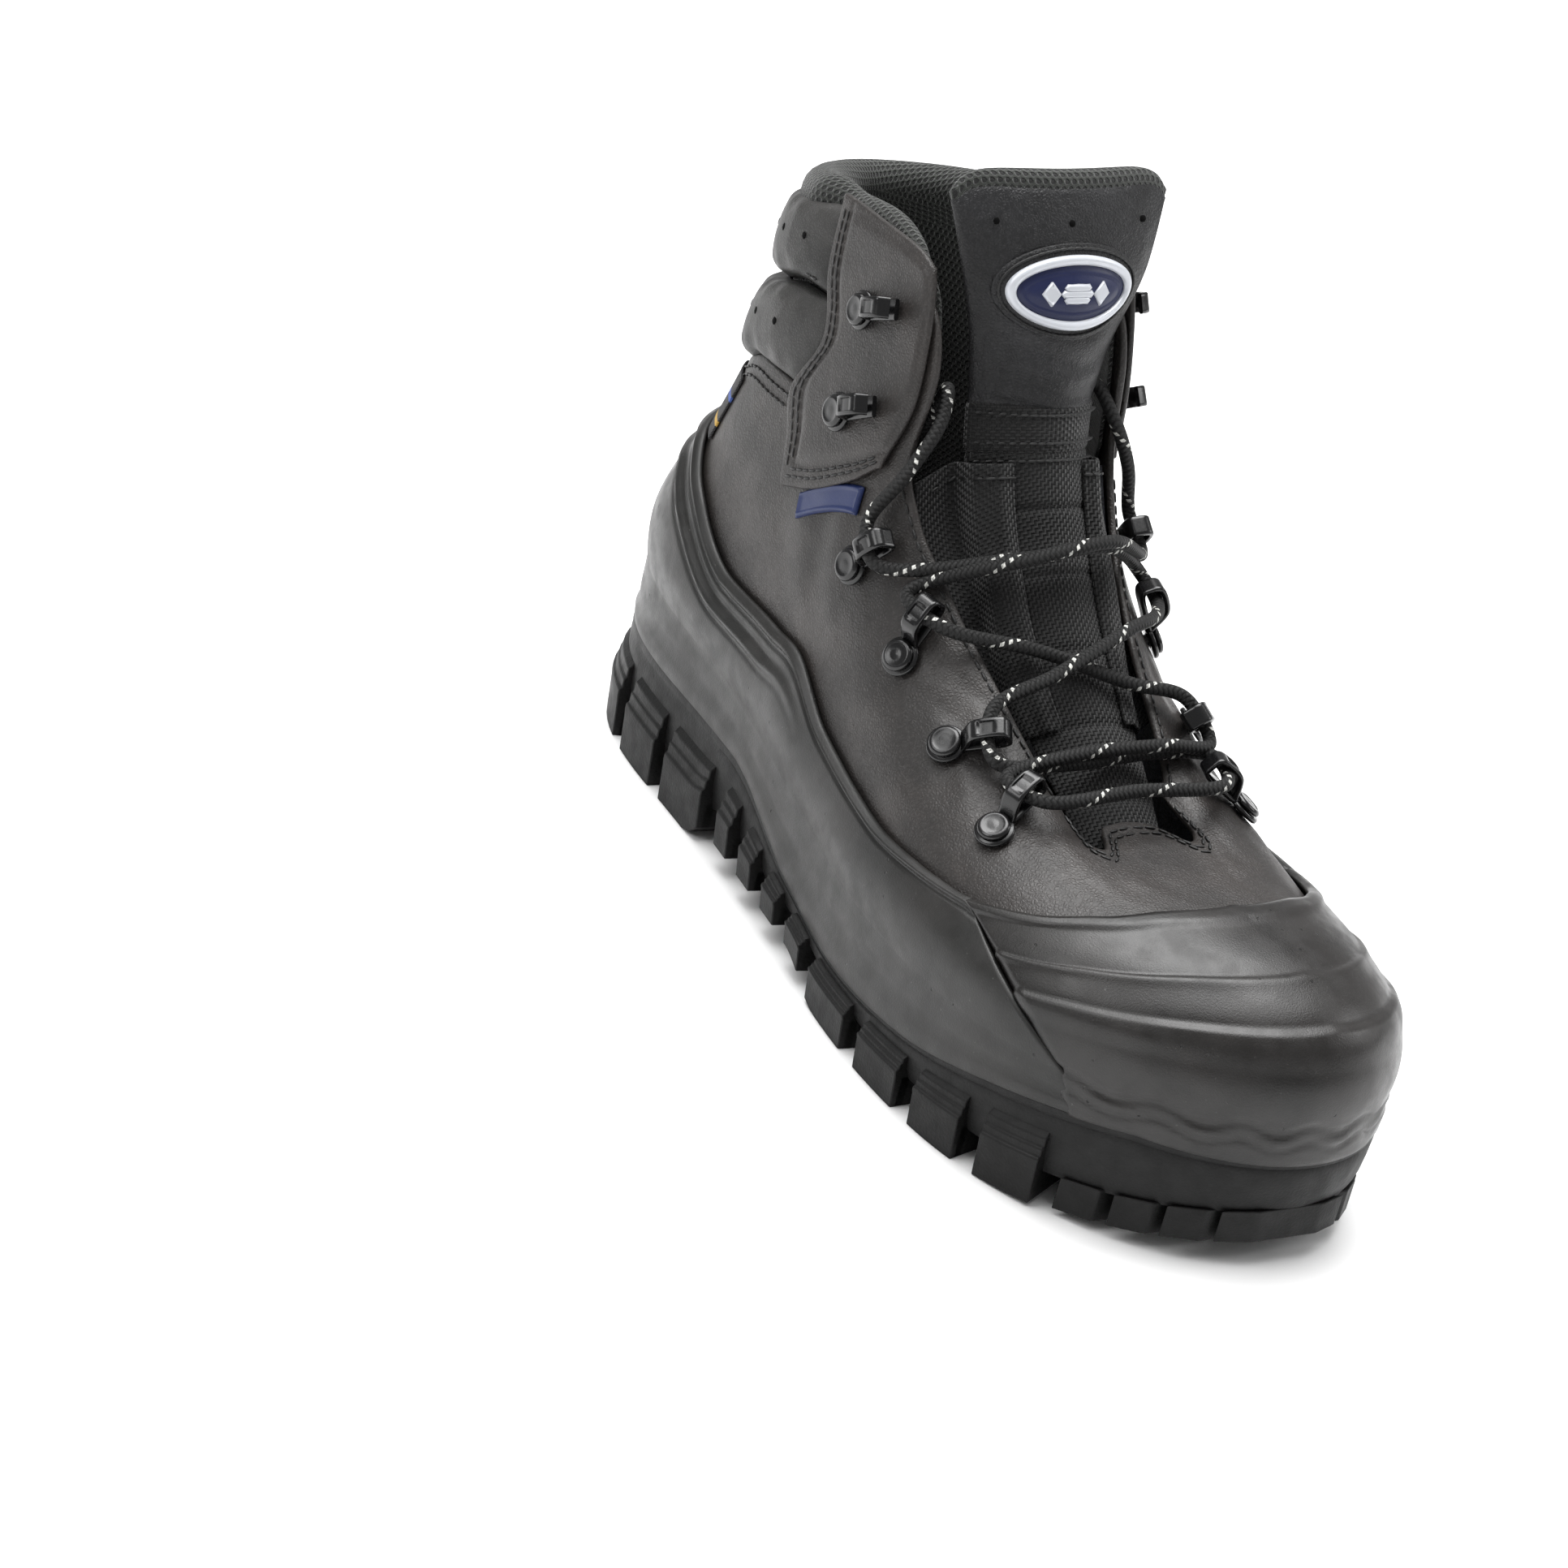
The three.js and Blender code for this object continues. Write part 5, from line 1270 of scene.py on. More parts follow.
@dataclass
class AnklePanel:
    """A padded panel over the ankle: a flat sewn lip behind and below, and a soft raised field."""

    side: Side
    lift: float = 0.9
    lip: float = 1.7
    field_rise: float = 0.9
    length: float = 52.0
    height: float = 66.0
    rear: tuple = ((8.17, 2.57), (8.41, 2.92), (8.7, 3.28), (8.66, 3.8), (8.97, 4.36), (9.11, 4.97))
    front: tuple = ((7.21, 3.92), (7.41, 4.54), (7.73, 4.77), (8.07, 5.01))
    bottom: tuple = ((8.17, 2.57), (7.8, 2.83), (7.4, 3.39), (7.21, 3.92))
    top: tuple = ((9.11, 4.97), (8.57, 4.92), (8.07, 5.01))

    def line(self, points: tuple, share: Array) -> Array:
        """A smooth edge through its corners, read at a share of their number."""
        curve = through(np.array(points), 30)
        at = share * (len(curve) - 1)
        k = np.arange(len(curve))
        return np.stack([np.interp(at, k, curve[:, axis]) for axis in (0, 1)], axis=-1)

    def at(self, across: Array, up: Array) -> tuple[Array, Array]:
        """A place in the panel: the sum of what its two pairs of edges give, less the flat blend of its corners."""
        across, up = np.broadcast_arrays(across, up)
        t, s = across[..., None], up[..., None]
        sides = mix(self.line(self.rear, up), self.line(self.front, up), t)
        ends = mix(self.line(self.bottom, across), self.line(self.top, across), s)
        low, high = (mix(np.array(self.rear[k]), np.array(self.front[k]), t) for k in (0, -1))
        place = sides + ends - mix(low, high, s)
        return (place[..., 0] if self.side is Side.OUTER else COLUMNS - place[..., 0]), place[..., 1]

    def make(self) -> None:
        """The panel and its two rows of stitches."""
        across, up = np.linspace(0, 1, 70)[None], np.linspace(0, 1, 84)[:, None]
        c, r = self.at(across, up)
        rear, front = across * self.length, (1 - across) * self.length  # mm from each edge
        low, high = up * self.height, (1 - up) * self.height
        margin = np.minimum(rear, low)
        raised = smooth((margin - 5.2) / 3.5) * smooth(front / 4) * smooth(high / 4)
        thick = self.lip + self.field_rise * raised - 0.35 * bump((margin - 5.4) / 0.7)
        thick = thick + 0.12 * np.sin(c * 9 + r * 7) * raised
        piece = Piece(f"ankle_pad_{self.side.name.lower()}")
        piece.slab(LAST.on(c, r, self.lift + thick), LAST.on(c, r, self.lift * np.ones_like(c)), lip=4)
        obj = piece.make(UPPER_LEATHER, slot="leather", replaces=(f"ankle_panel_{self.side.name.lower()}",))
        rows = []
        for inset in (2.0, 4.1):
            down = self.at(np.full(30, inset / self.length), np.linspace(0.97, inset / self.height, 30))
            along = self.at(np.linspace(inset / self.length, 0.97, 30), np.full(30, inset / self.height))
            for c, r in (down, along):
                c = c if self.side is Side.OUTER else COLUMNS - c
                places = np.stack([c, r], axis=-1)[::3]
                rows.append(StitchRow(places, self.lift + self.lip + 0.05, pitch=3.0).on(self.side))
        sew(f"ankle_stitches_{self.side.name.lower()}", rows, "leather")


@dataclass
class Collar:
    """The two puffed pads behind the ankle, the mesh lining, and the rim that it rolls into."""

    upper: Upper
    crown: float = 5.5
    seam: Pairs = ((8.7, 4.1), (9.2, 4.1), (9.9, 3.94), (11, 3.85))
    pad_top: float = 4.86
    panel_rear: Pairs = ((2.57, 8.17), (2.92, 8.41), (3.28, 8.7), (3.8, 8.66), (4.36, 8.97), (4.97, 9.11))
    lining_top: Pairs = ((7.2, 4.2), (7.5, 4.6), (8, 4.8), (8.5, 4.88), (9, 5.05), (11, 5.05))

    def puff(self, c: Array, share: Array, low: Array, high: Array) -> Array:
        """How far a pad swells: a round crown over its height, let down towards its front ends, with small puckers."""
        row = mix(low, high, share)
        ends = np.sqrt(np.clip((LAST.outer_column(c) - flowing(self.panel_rear, row) - 0.03) / 0.5, 0, 1))
        round_ = np.sqrt(np.clip(1 - np.abs(2 * share - 1) ** 2.6, 0, 1))
        pucker = 0.35 * np.sin(c * 27 + 3 * np.sin(c * 3)) * bump((share - 0.12) / 0.1)
        pucker = pucker + 0.3 * np.sin(c * 23) * bump((share - 0.88) / 0.1)
        return ends * (self.crown * round_ + pucker)

    def make_pad(self, name: str, low: Pairs, high: Pairs, node: str) -> None:
        """A pad between two edges round the heel."""
        share = np.linspace(0, 1, 34)[:, None]
        lows, highs = flowing(low, 9.0), flowing(high, 9.0)
        front = flowing(self.panel_rear, mix(lows, highs, share)) + 0.04
        c = mix(front, COLUMNS - front, np.linspace(0, 1, 260)[None])
        side = LAST.outer_column(c)
        low_row, high_row = flowing(low, side) + 0.03, flowing(high, side) - 0.03
        outer = LAST.on(c, mix(low_row, high_row, share), self.puff(c, share, low_row, high_row))
        inner = LAST.on(c, mix(low_row, high_row, share), -LEATHER * np.ones_like(c))
        obj = Piece(name).slab(outer, inner, lip=2).make(PAD_LEATHER, slot="pad_leather", replaces=(node,))

    def holes(self, low: Pairs, high: Pairs, place: Pairs, count: int) -> list[tuple[Array, Array, Array]]:
        """Vent holes over a pad, at even columns, at the pad's own lift."""
        rows = []
        for sign in (0, 1):
            c = np.linspace(place[0][0], place[-1][0], count)
            r = flowing(place, c)
            low_row, high_row = flowing(low, c) + 0.03, flowing(high, c) - 0.03
            lift = self.puff(c, (r - low_row) / (high_row - low_row), low_row, high_row)
            c = COLUMNS - c if sign else c
            normal = LAST.normal(c, r)
            along = unit(np.cross(normal, np.array([0.0, 0.0, 1.0])))
            rows.append((LAST.on(c, r, lift), along, normal))
        return rows

    def make(self) -> None:
        """The pads, their seams and holes, and the lining."""
        edge = tuple(self.upper.top[11:])
        top = ((0, self.pad_top), (HEEL, self.pad_top))
        self.make_pad("collar_pad_low", edge, self.seam, "collar_pad_lower")
        self.make_pad("collar_pad_high", self.seam, top, "collar_pad_upper")
        rows = []
        for side in Side:
            c = np.linspace(9.05, HEEL, 12)
            for gap in (-0.09, 0.09):
                rows.append(StitchRow(np.stack([c, flowing(self.seam, c) + gap], axis=-1), 2.4, pitch=3.2).on(side))
        sew("collar_stitches", rows, "pad_leather")
        holes = self.holes(self.seam, top, ((9.35, 4.5), (10.4, 4.38)), 4)
        holes += self.holes(edge, self.seam, ((9.2, 3.7), (10.4, 3.45)), 4)
        punch("collar_holes", holes, 1.0, "pad_leather")
        self.make_lining()

    def make_lining(self) -> None:
        """The lining: inside the leather in front, over foam behind, and turned outwards in a full round rim."""
        c = np.linspace(7.2, COLUMNS - 7.2, 260)[None]
        side = LAST.outer_column(c)
        share = np.concatenate([np.linspace(0, 0.93, 34), [0.955, 0.975, 1.0]])[:, None]
        top = flowing(self.lining_top, side) - 0.17 * smooth((side - 8.4) / 0.6)
        r = mix(0.4, top, share)
        counter = UNDER_LEATHER - 1.6 - PLY_GAP
        over = smooth((r - 2.55) / 0.3)
        outside = mix(UNDER_LEATHER, counter, smooth((side - 7.9) / 0.5) * (1 - over))
        turned = smooth((share - 0.94) / 0.03) * smooth((side - 9.2) / 0.4)
        outside = mix(outside, 2.6, turned)
        padded = counter - 1 - 4 * smooth(r / 1.5)
        inside = mix(UNDER_LEATHER - 1, padded, smooth((side - 8.1) / 0.8))
        piece = Piece("collar_mesh").slab(LAST.on(c, r, outside), LAST.on(c, r, inside), lip=9)
        nodes = ("collar_lining_outer", "collar_lining_heel", "collar_lining_inner")
        piece.make(COLLAR_MESH, slot="mesh", replaces=nodes)


@dataclass
class Tongue:
    """The tongue: woven below, then padded leather, a webbing band and a mesh rim, with its badge and bellows."""

    sections: tuple = (
        (213, 60, 11, 2), (190, 78, 15, 5), (166, 95, 18, 8), (147, 116, 19, 11), (134, 138, 18, 13),
        (128, 158, 19, 10), (123, 181, 28, 6), (112, 204, 34, 6),
    )
    shift: tuple[float, float] = (-2, 1)
    thick: Pairs = ((0, 2), (0.45, 3.5), (0.6, 6), (1, 7))
    seam: float = 4 / 7
    band: float = 0.64
    rim: float = 0.988
    badge_share: float = 0.83
    badge_half: tuple[float, float] = (19, 9.5)
    device: tuple = (
        (-7.6, 0, 2.2, 2.6), (7.6, 0, 2.2, 2.6), (0, 1.5, 3.6, 0.55), (0, 0, 4.6, 0.55), (0, -1.5, 3.6, 0.55),
    )  # the badge's raised shapes: where each one's middle is, across and up, and its half sizes
    reach: float = 0.965  # how much of its half width is drawn, to clear the panels as it tilts

    def spine(self, share: Array | float) -> Array:
        """The middle line's x and z, half width and fall at a share of the way up: a cubic B-spline of the sections."""
        s = np.array(self.sections, float)
        s = np.concatenate([2 * s[:1] - s[1:2], s, 2 * s[-1:] - s[-2:-1]])
        at = np.clip(share, 0, 1) * 7
        k = np.minimum(np.floor(at), 6).astype(int)
        w = spline_weights(at - k)
        return np.sum(w[..., None] * np.stack([s[k + a] for a in range(4)]), axis=0)

    def on(self, across: Array | float, share: Array | float, lift: Array | float = 0.0) -> Array:
        """A place on the tongue's front: the middle line, less the fall times the square of how far across it is.

        Args:
            across: from -1, outer, to 1, inner.
            share: from the foot to the top edge.
            lift: off the front, in mm.

        Returns:
            Points in mm.
        """
        across, share, lift = np.broadcast_arrays(across, share, lift)
        x, z, half, fall = np.moveaxis(self.spine(share), -1, 0)
        low, high = self.spine(share - 0.01), self.spine(share + 0.01)
        front = unit(np.stack([high[..., 1] - low[..., 1], low[..., 0] - high[..., 0]], axis=-1))
        back = fall * across**2 - lift
        y = mix(*self.shift, share) + half * across
        return np.stack([x - front[..., 0] * back, y, z - front[..., 1] * back], axis=-1)

    def part(
        self,
        name: str,
        low: float,
        high: float,
        relief: Array,
        lip: int,
        finish: Finish,
        slot: str,
        body: str,
        node: str,
    ) -> bpy.types.Object:
        """A length of the tongue between two shares, with relief on its front.

        Args:
            name: the piece.
            low: where it starts.
            high: where it ends.
            relief: lift of the front, (rows, columns) in mm.
            lip: points round its edge.
            finish: its material.
            slot: its material slot.
            body: what it rides on.
            node: the CAD node that it replaces.

        Returns:
            The object.
        """
        rows, columns = relief.shape
        across = np.linspace(-self.reach, self.reach, columns)[None]
        dip = 0.034 * np.abs(across) ** 9 + 0.012 * (1 - across**2)  # its corners are rounded and its middle hollow
        share = mix(low - dip * (low > 0.9), high - dip * (high > 0.9), np.linspace(0, 1, rows)[:, None])
        back = -eased(self.thick, share) * mix(1, 0.35, across**4)
        piece = Piece(name).slab(self.on(across, share, relief), self.on(across, share, back), lip=lip)
        return piece.make(finish, body, slot, (node,))

    def make(self) -> None:
        """Every length of the tongue, its stitches and holes, the badge and the bellows."""
        across = np.linspace(-1, 1, 60)[None]
        share = np.linspace(0.02, self.seam - 0.005, 130)[:, None]
        channels = sum(bump((share - s) / 0.005) for s in (0.1, 0.2, 0.3, 0.4, 0.49))
        relief = (0.35 - 0.9 * channels) * (1 - across**6) + 0 * share
        part = ("nylon_fabric", "boot", "tongue_lower")
        low = self.part("tongue_weave", 0.02, self.seam - 0.005, relief, 2, BALLISTIC, *part)
        ribs = 0.3 + 0.35 * np.sqrt(wave(np.linspace(0, 1, 26)))[:, None] + 0 * across
        part = ("webbing", "tongue_top", "tongue_band")
        self.part("tongue_webbing", self.seam + 0.005, self.band, ribs, 2, WEBBING, *part)
        a, b = self.band + 0.003, self.rim
        share = np.linspace(a, b, 110)[:, None]
        t = (share - a) / (b - a)
        crown = 0.9 * np.sqrt(np.clip(1 - np.abs(2 * t - 1) ** 4, 0, 1)) * (1 - across**4)
        lines = np.sin(t * 38 + 1.8 * np.sin(across * 2.4 + 0.6) + np.sin(t * 9)) * (1 - smooth((t - 0.15) / 0.4))
        folds = 0.55 * lines * (1 - across**4) + 0.25 * np.sin(across * 7 + t * 11) * wave(t)
        sunk = 0.5 * (1 - smooth((t - 0.03) / 0.05))  # its lower edge is turned under the webbing
        part = ("tongue_leather", "tongue_top", "tongue_leather")
        pad = self.part("tongue_pad", a, b, crown + folds - sunk, 6, TONGUE_LEATHER, *part)
        rim = -0.2 + 0 * across * np.linspace(0, 1, 8)[:, None]
        top = self.part("tongue_mesh", self.rim + 0.002, 1.0, rim, 5, COLLAR_MESH, "mesh", "tongue_top", "tongue_rim")
        high = np.array([0.935, 0.93, 0.935])
        holes = self.on(np.array([-0.72, -0.05, 0.72]), high, 0.85)
        row = (holes, np.tile([0.0, 1.0, 0.0], (3, 1)), self.front(high))
        punch("tongue_holes", [row], 0.9, "tongue_leather", "tongue_top")
        rows = []
        seams = (
            (self.seam - 0.012, 0.5, "boot"), (self.seam + 0.015, 0.75, "tongue_top"),
            (self.band - 0.008, 0.7, "tongue_top"),
        )
        for at, lift, body in seams:
            line = np.linspace(-0.93, 0.93, 17)
            row = (self.on(line, at, lift), np.tile([0.0, 1.0, 0.0], (17, 1)), self.front(np.full(17, at)))
            rows.append((body, row))
        sew("tongue_seam_low", [row for body, row in rows if body == "boot"], "nylon_fabric")
        sew("tongue_stitches", [row for body, row in rows if body != "boot"], "tongue_leather", "tongue_top")
        self.make_badge()
        for side in Side:
            self.make_gusset(side)

    def front(self, share: Array) -> Array:
        """The direction off the tongue's front at some shares."""
        slope = self.on(0.0, share + 0.01) - self.on(0.0, share - 0.01)
        return unit(np.stack([slope[..., 2], 0 * slope[..., 0], -slope[..., 0]], axis=-1))

    def badge_scale(self) -> tuple[Array, float]:
        """At the badge, half the tongue's width, and how far its front runs for the whole of its share, in mm."""
        step = self.on(0.0, self.badge_share + 0.01) - self.on(0.0, self.badge_share)
        return self.spine(np.array(self.badge_share))[2], float(np.linalg.norm(step) / 0.01)

    def oval(self, angle: Array, inset: Array | float, lift: Array | float) -> Array:
        """Places round the badge: an ellipse of its half sizes, less the inset, bent over the tongue."""
        half, climb = self.badge_scale()
        across = np.cos(angle) * (self.badge_half[0] - inset) / half
        return self.on(across, self.badge_share + np.sin(angle) * (self.badge_half[1] - inset) / climb, lift)

    def make_badge(self) -> None:
        """An oval badge: a stitched black base, a silver rim, and a domed navy face with a plain raised device."""
        angle = np.linspace(0, 2 * np.pi, 96, endpoint=False)[None]
        base = Piece("badge_base")
        spread = np.linspace(10.0, -2.4, 10)[:, None]
        height = 1.9 - 0.5 * smooth((1 - spread) / 3)
        base.slab(self.oval(angle, spread, height), self.oval(angle, spread, 0.4), ring=True, lip=2)
        base.make(TONGUE_LEATHER, "tongue_top", "tongue_leather")
        turn = np.linspace(0, 2 * np.pi, 64, endpoint=False)
        at = self.oval(turn, -1.5, 1.75)
        along = unit(np.roll(at, -1, axis=0) - np.roll(at, 1, axis=0))
        sew("badge_stitches", [(at, along, self.front(np.full(64, self.badge_share)))], "tongue_leather", "tongue_top")
        rim = Piece("badge_ring")
        profile = np.array([[0.0, 1.6], [0.15, 2.6], [0.5, 3.1], [1.3, 3.2], [2.0, 2.9], [2.5, 2.3], [2.6, 1.6]])
        inset, height = profile[:, :1], profile[:, 1:]
        rim.slab(self.oval(angle, inset, height), self.oval(angle, inset, 1.2), ring=True, lip=1)
        rim.make(SILVER_RUBBER, "tongue_top", "badge_rim", ("badge_rim",))
        face = Piece("badge_dome")
        spread = np.linspace(2.5, 9.3, 14)[:, None]
        height = 2.0 + 0.8 * smooth((spread - 2.5) / 5) + 0.35 * bump((spread - 4.0) / 0.35)
        face.slab(self.oval(angle, spread, height), self.oval(angle, spread, 1.2), ring=True, lip=0)
        face.make(NAVY_RUBBER, "tongue_top", "badge_face", ("badge_face",))
        half, climb = self.badge_scale()
        device = Piece("badge_device")
        for y, z, width, tall in self.device:
            u, v = np.linspace(-1, 1, 9)[None], np.linspace(-1, 1, 5)[:, None]
            point = 1 - np.abs(v) if abs(y) > 1 else 1 - 0.15 * np.abs(v)
            across, share = (y + width * u * point + 0.05 * u) / half, self.badge_share + (z + tall * v) / climb
            device.slab(*(self.on(across, share, lift) for lift in (3.35, 2.3)), lip=1)
        device.make(SILVER_RUBBER, "tongue_top", "badge_rim")

    def make_gusset(self, side: Side) -> None:
        """The bellows beside the tongue: woven nylon folded over its edge, rippled, with a stitched top hem."""
        s = side.value
        share = np.linspace(0.2, 0.555, 56)
        crest = 1.2 + 3 * smooth((share - 0.2) / 0.2)
        c = mix(3.4, 7.0, share / self.seam)
        c = c if side is Side.OUTER else COLUMNS - c
        knots = np.stack(
            [
                self.on(0.6 * s, share, 0.6),
                self.on(0.82 * s, share, crest),
                self.on(0.98 * s, share, crest - 0.6),
                self.on(1.1 * s, share, -2.0),
                LAST.on(c, 4.4, UNDER_LEATHER - 1 - 2.6 * PLY_GAP),
            ],
            axis=1,
        )
        curve = through(knots.transpose(1, 0, 2).reshape(5, -1), 9, power=0.0)
        curve = curve.reshape(-1, len(share), 3).transpose(1, 0, 2)
        normal = unit(np.cross(np.gradient(curve, axis=0), np.gradient(curve, axis=1))) * -s
        across = np.linspace(0, 1, curve.shape[1])[None, :, None]
        fold = 0.45 * np.sin(across * 15 + 1.3 * np.sin(share * 21)[:, None, None]) * wave(across)
        piece = Piece(f"bellows_{side.name.lower()}")
        piece.slab(curve + normal * (fold + 1.1), curve + normal * (fold + 0.3), lip=2)
        obj = piece.make(BALLISTIC, slot="nylon_fabric", replaces=(f"gusset_{side.name.lower()}",))
        hem = curve[-4] + normal[-4] * 1.5
        along = unit(np.gradient(hem, axis=0))
        sew(f"bellows_stitches_{side.name.lower()}", [(hem[2::5], along[2::5], normal[-4][2::5])], "nylon_fabric")


# ---- Lace and its hardware ----


class HookKind(Enum):
    """What holds the lace: a closed loop, or a hook with a mouth at its tip."""

    LOOP = "loop"
    HOOK = "hook"


@dataclass(frozen=True)
class Hook:
    """One of the moulded lace holders, on a rivet.

    Attributes:
        number: from the collar down.
        rivet: the rivet's place on the last.
        tip: the place that it points to.
        kind: closed or open.
    """

    number: int
    rivet: tuple[float, float]
    tip: tuple[float, float]
    kind: HookKind = HookKind.LOOP
    ring_r: float = 5.1
    rivet_r: float = 4.2
    shank_r: float = 1.8
    width: float = 5.4
    wall: float = 1.3
    reach: float = 17.0
    height: float = 7.4
    panel: float = 3.5  # the padded panel that the open hooks stand on
    stand: float = 0.8

    def frame(self, side: Side) -> tuple[Array, Array, float]:
        """The foot of the rivet, three axes (to the tip, across, off the leather), and the shank's depth."""
        places = [(c if side is Side.OUTER else COLUMNS - c, r) for c, r in (self.rivet, self.tip)]
        ground = (self.panel if self.kind is HookKind.HOOK else 0.0) + self.stand
        normal = LAST.normal(*places[0])
        forward = LAST.point(*places[1]) - LAST.point(*places[0])
        forward = unit(forward - normal * np.dot(forward, normal))
        return LAST.on(*places[0], ground), np.stack([forward, np.cross(normal, forward), normal]), ground + LEATHER

    def strip(self) -> tuple[Array, bool]:
        """The strap's middle line in its own plane, [along, up], with rounded corners, and whether it closes."""
        tip, top, half = self.reach, self.height - self.wall / 2, self.wall / 2
        crown = [[tip - 2.2, top], [8.6, top], [6.6, 4.6], [5.2, 2.0]]
        if self.kind is HookKind.LOOP:
            path = [[4.0, half], [9, half], [tip - half, half], [tip - half, 3.0], [tip - half, top - 1.2], *crown]
            return cut_corners(np.array(path), 3), True
        path = [[tip - 1.4, half], [9, half], [4.4, half], *crown[::-1], [tip - 1.2, 5.4], [tip - 0.5, 3.6]]
        return cut_corners(np.array(path), 3, closed=False), False

    def make(self, side: Side) -> None:
        """The strap on its ring, with a sunk window in its crown, and the rivet's domed cap."""
        origin, axes, shank = self.frame(side)
        plan, closed = self.strip()
        path = origin + plan[:, :1] * axes[0] + plan[:, 1:] * axes[2]
        half, edge = self.wall / 2, self.width / 2
        near = edge - 0.35
        ys = np.array([-edge, -edge, -near, -1.75, -1.5, 0, 1.5, 1.75, near, edge, edge, near, 0, -near])
        xs = np.array([-0.3, 0.3, half, half, half, half, half, half, half, 0.3, -0.3, -half, -half, -half])
        window = smooth((plan[:, 0] - 9.2) / 0.5) * smooth((self.reach - 3.0 - plan[:, 0]) / 0.5) * (plan[:, 1] > 5)
        sunk = np.zeros(len(xs))
        sunk[4:7] = 0.6
        centre = np.mean(plan, axis=0) if closed else np.array([10.5, 3.4])
        gradient = np.gradient(plan, axis=0) if not closed else np.roll(plan, -1, axis=0) - np.roll(plan, 1, axis=0)
        out = unit(np.stack([gradient[:, 1], -gradient[:, 0]], axis=-1))
        out = out * (1 if np.sum(out * (plan - centre)) > 0 else -1)
        outward = out[:, :1] * axes[0] + out[:, 1:] * axes[2]
        profile = np.stack(np.broadcast_arrays(xs - window[:, None] * sunk, ys), axis=-1)
        name = f"{self.kind.value}_{side.name.lower()}_{self.number}"
        piece = Piece(f"strap_{name}").sweep(path, axes[1], profile, closed, outward)
        r, t = self.ring_r, self.wall
        bore = self.shank_r + 0.35
        washer = np.array([[bore, 0], [r - 0.3, 0], [r, 0.3], [r, t - 0.35], [r - 0.35, t], [bore, t]])
        piece.lathe(origin, axes, washer, 48, closed=True)
        body = f"hook_{side.name.lower()}_{self.number}" if self.kind is HookKind.HOOK else "boot"
        piece.make(GLOSS_NYLON, body, "nylon", (f"lace_{name}",), sharp=50)
        low, r = self.wall + 0.35, self.rivet_r
        cap = np.array(
            [
                [0.04, -shank], [self.shank_r, -shank], [self.shank_r, low], [r - 0.2, low], [r, low + 0.2],
                [r, low + 0.7], [r - 0.35, low + 1.15], [r - 0.9, low + 1.4], [r - 1.3, low + 1.42],
                [r - 1.5, low + 1.3], [1.2, low + 1.45], [0.04, low + 1.5],
            ]
        )
        head = Piece(f"rivet_cap_{side.name.lower()}_{self.number}").lathe(origin, axes, cap, 40)
        head.make(GLOSS_NYLON, "boot", "nylon", (f"rivet_{side.name.lower()}_{self.number}",), sharp=50)


@dataclass
class Lacing:
    """The lace, threaded through the loops, and the hardware that holds it."""

    diameter: float = 3.5
    hooks: tuple[Hook, ...] = (
        Hook(1, (8.37, 4.27), (7.93, 4.75), HookKind.HOOK),
        Hook(2, (7.96, 3.53), (7.53, 4.2), HookKind.HOOK),
        Hook(3, (6.77, 3.08), (6.45, 4.25)),
        Hook(4, (5.7, 3.47), (5.61, 4.71)),
        Hook(5, (4.82, 3.46), (4.25, 4.79)),
        Hook(6, (3.96, 3.12), (3.45, 4.81)),
    )
    route: tuple = (
        (76, -1, 46), (56, 1, 46), (35, -2, 46), (31, -13, 46), (44, -21, 46), (66, -20, 46), (88, -18, 60),
        (98, -20, 92), (106, -21, 124), (115.5, -23.5, 146.5), (124, -29.5, 141), (126.5, -38, 128),
        (125.5, -45, 114.5), (134.5, -46, 107.8), (151.5, -14, 117), (150, 12, 118), (142.1, 32, 104.8),
        (155.5, 29.4, 102), (168, 11, 104), (175.5, -14, 97), (178.9, -33.4, 90.2), (190, -37.5, 82.5),
        (192, -16, 81), (190, 12, 81), (193.5, 27.5, 81), (206, 23.5, 80.5), (206.5, -4.5, 81), (206, -32.5, 80),
        (195, -36.5, 80.5), (192.5, -14, 84), (193, 11, 85), (190, 28.5, 82.5), (179.5, 25.5, 90), (175, 11, 92.5),
        (167, -14, 99), (156, -38, 101.5), (143.5, -41, 104), (154.5, -14, 118.5), (152.5, 11, 121),
        (135, 36, 107.5), (126, 36, 114), (126.5, 31, 128), (124.5, 23.8, 141), (116, 20.4, 147.3), (106, 17, 124),
        (98, 16, 92), (98, 15, 62), (112, 14, 43), (136, 15, 39), (162, 14, 36),
    )

    def make_lace(self) -> None:
        """The lace: a round section carried along a smooth curve through its route, from one tip to the other."""
        path = through(np.array(self.route, float), 26)
        angle = np.linspace(0, 2 * np.pi, 18, endpoint=False)
        profile = np.stack([np.cos(angle), np.sin(angle)], axis=-1) * self.diameter / 2
        along = unit(np.gradient(path, axis=0))
        upright = np.array([0.25, 0.1, 1.0]) + 0.9 * np.abs(along[:, 2:]) * np.array([1.0, 0.2, -0.8])
        lace = Piece("boot_lace").sweep(path, upright, profile)
        obj = lace.make(LACE_BRAID, slot="lace", replaces=("lace",))
        points = LAST.place(path)

    def make(self) -> None:
        """The hooks, loops and rivets of both sides."""
        for side in Side:
            for hook in self.hooks:
                hook.make(side)


# ---- Labels ----


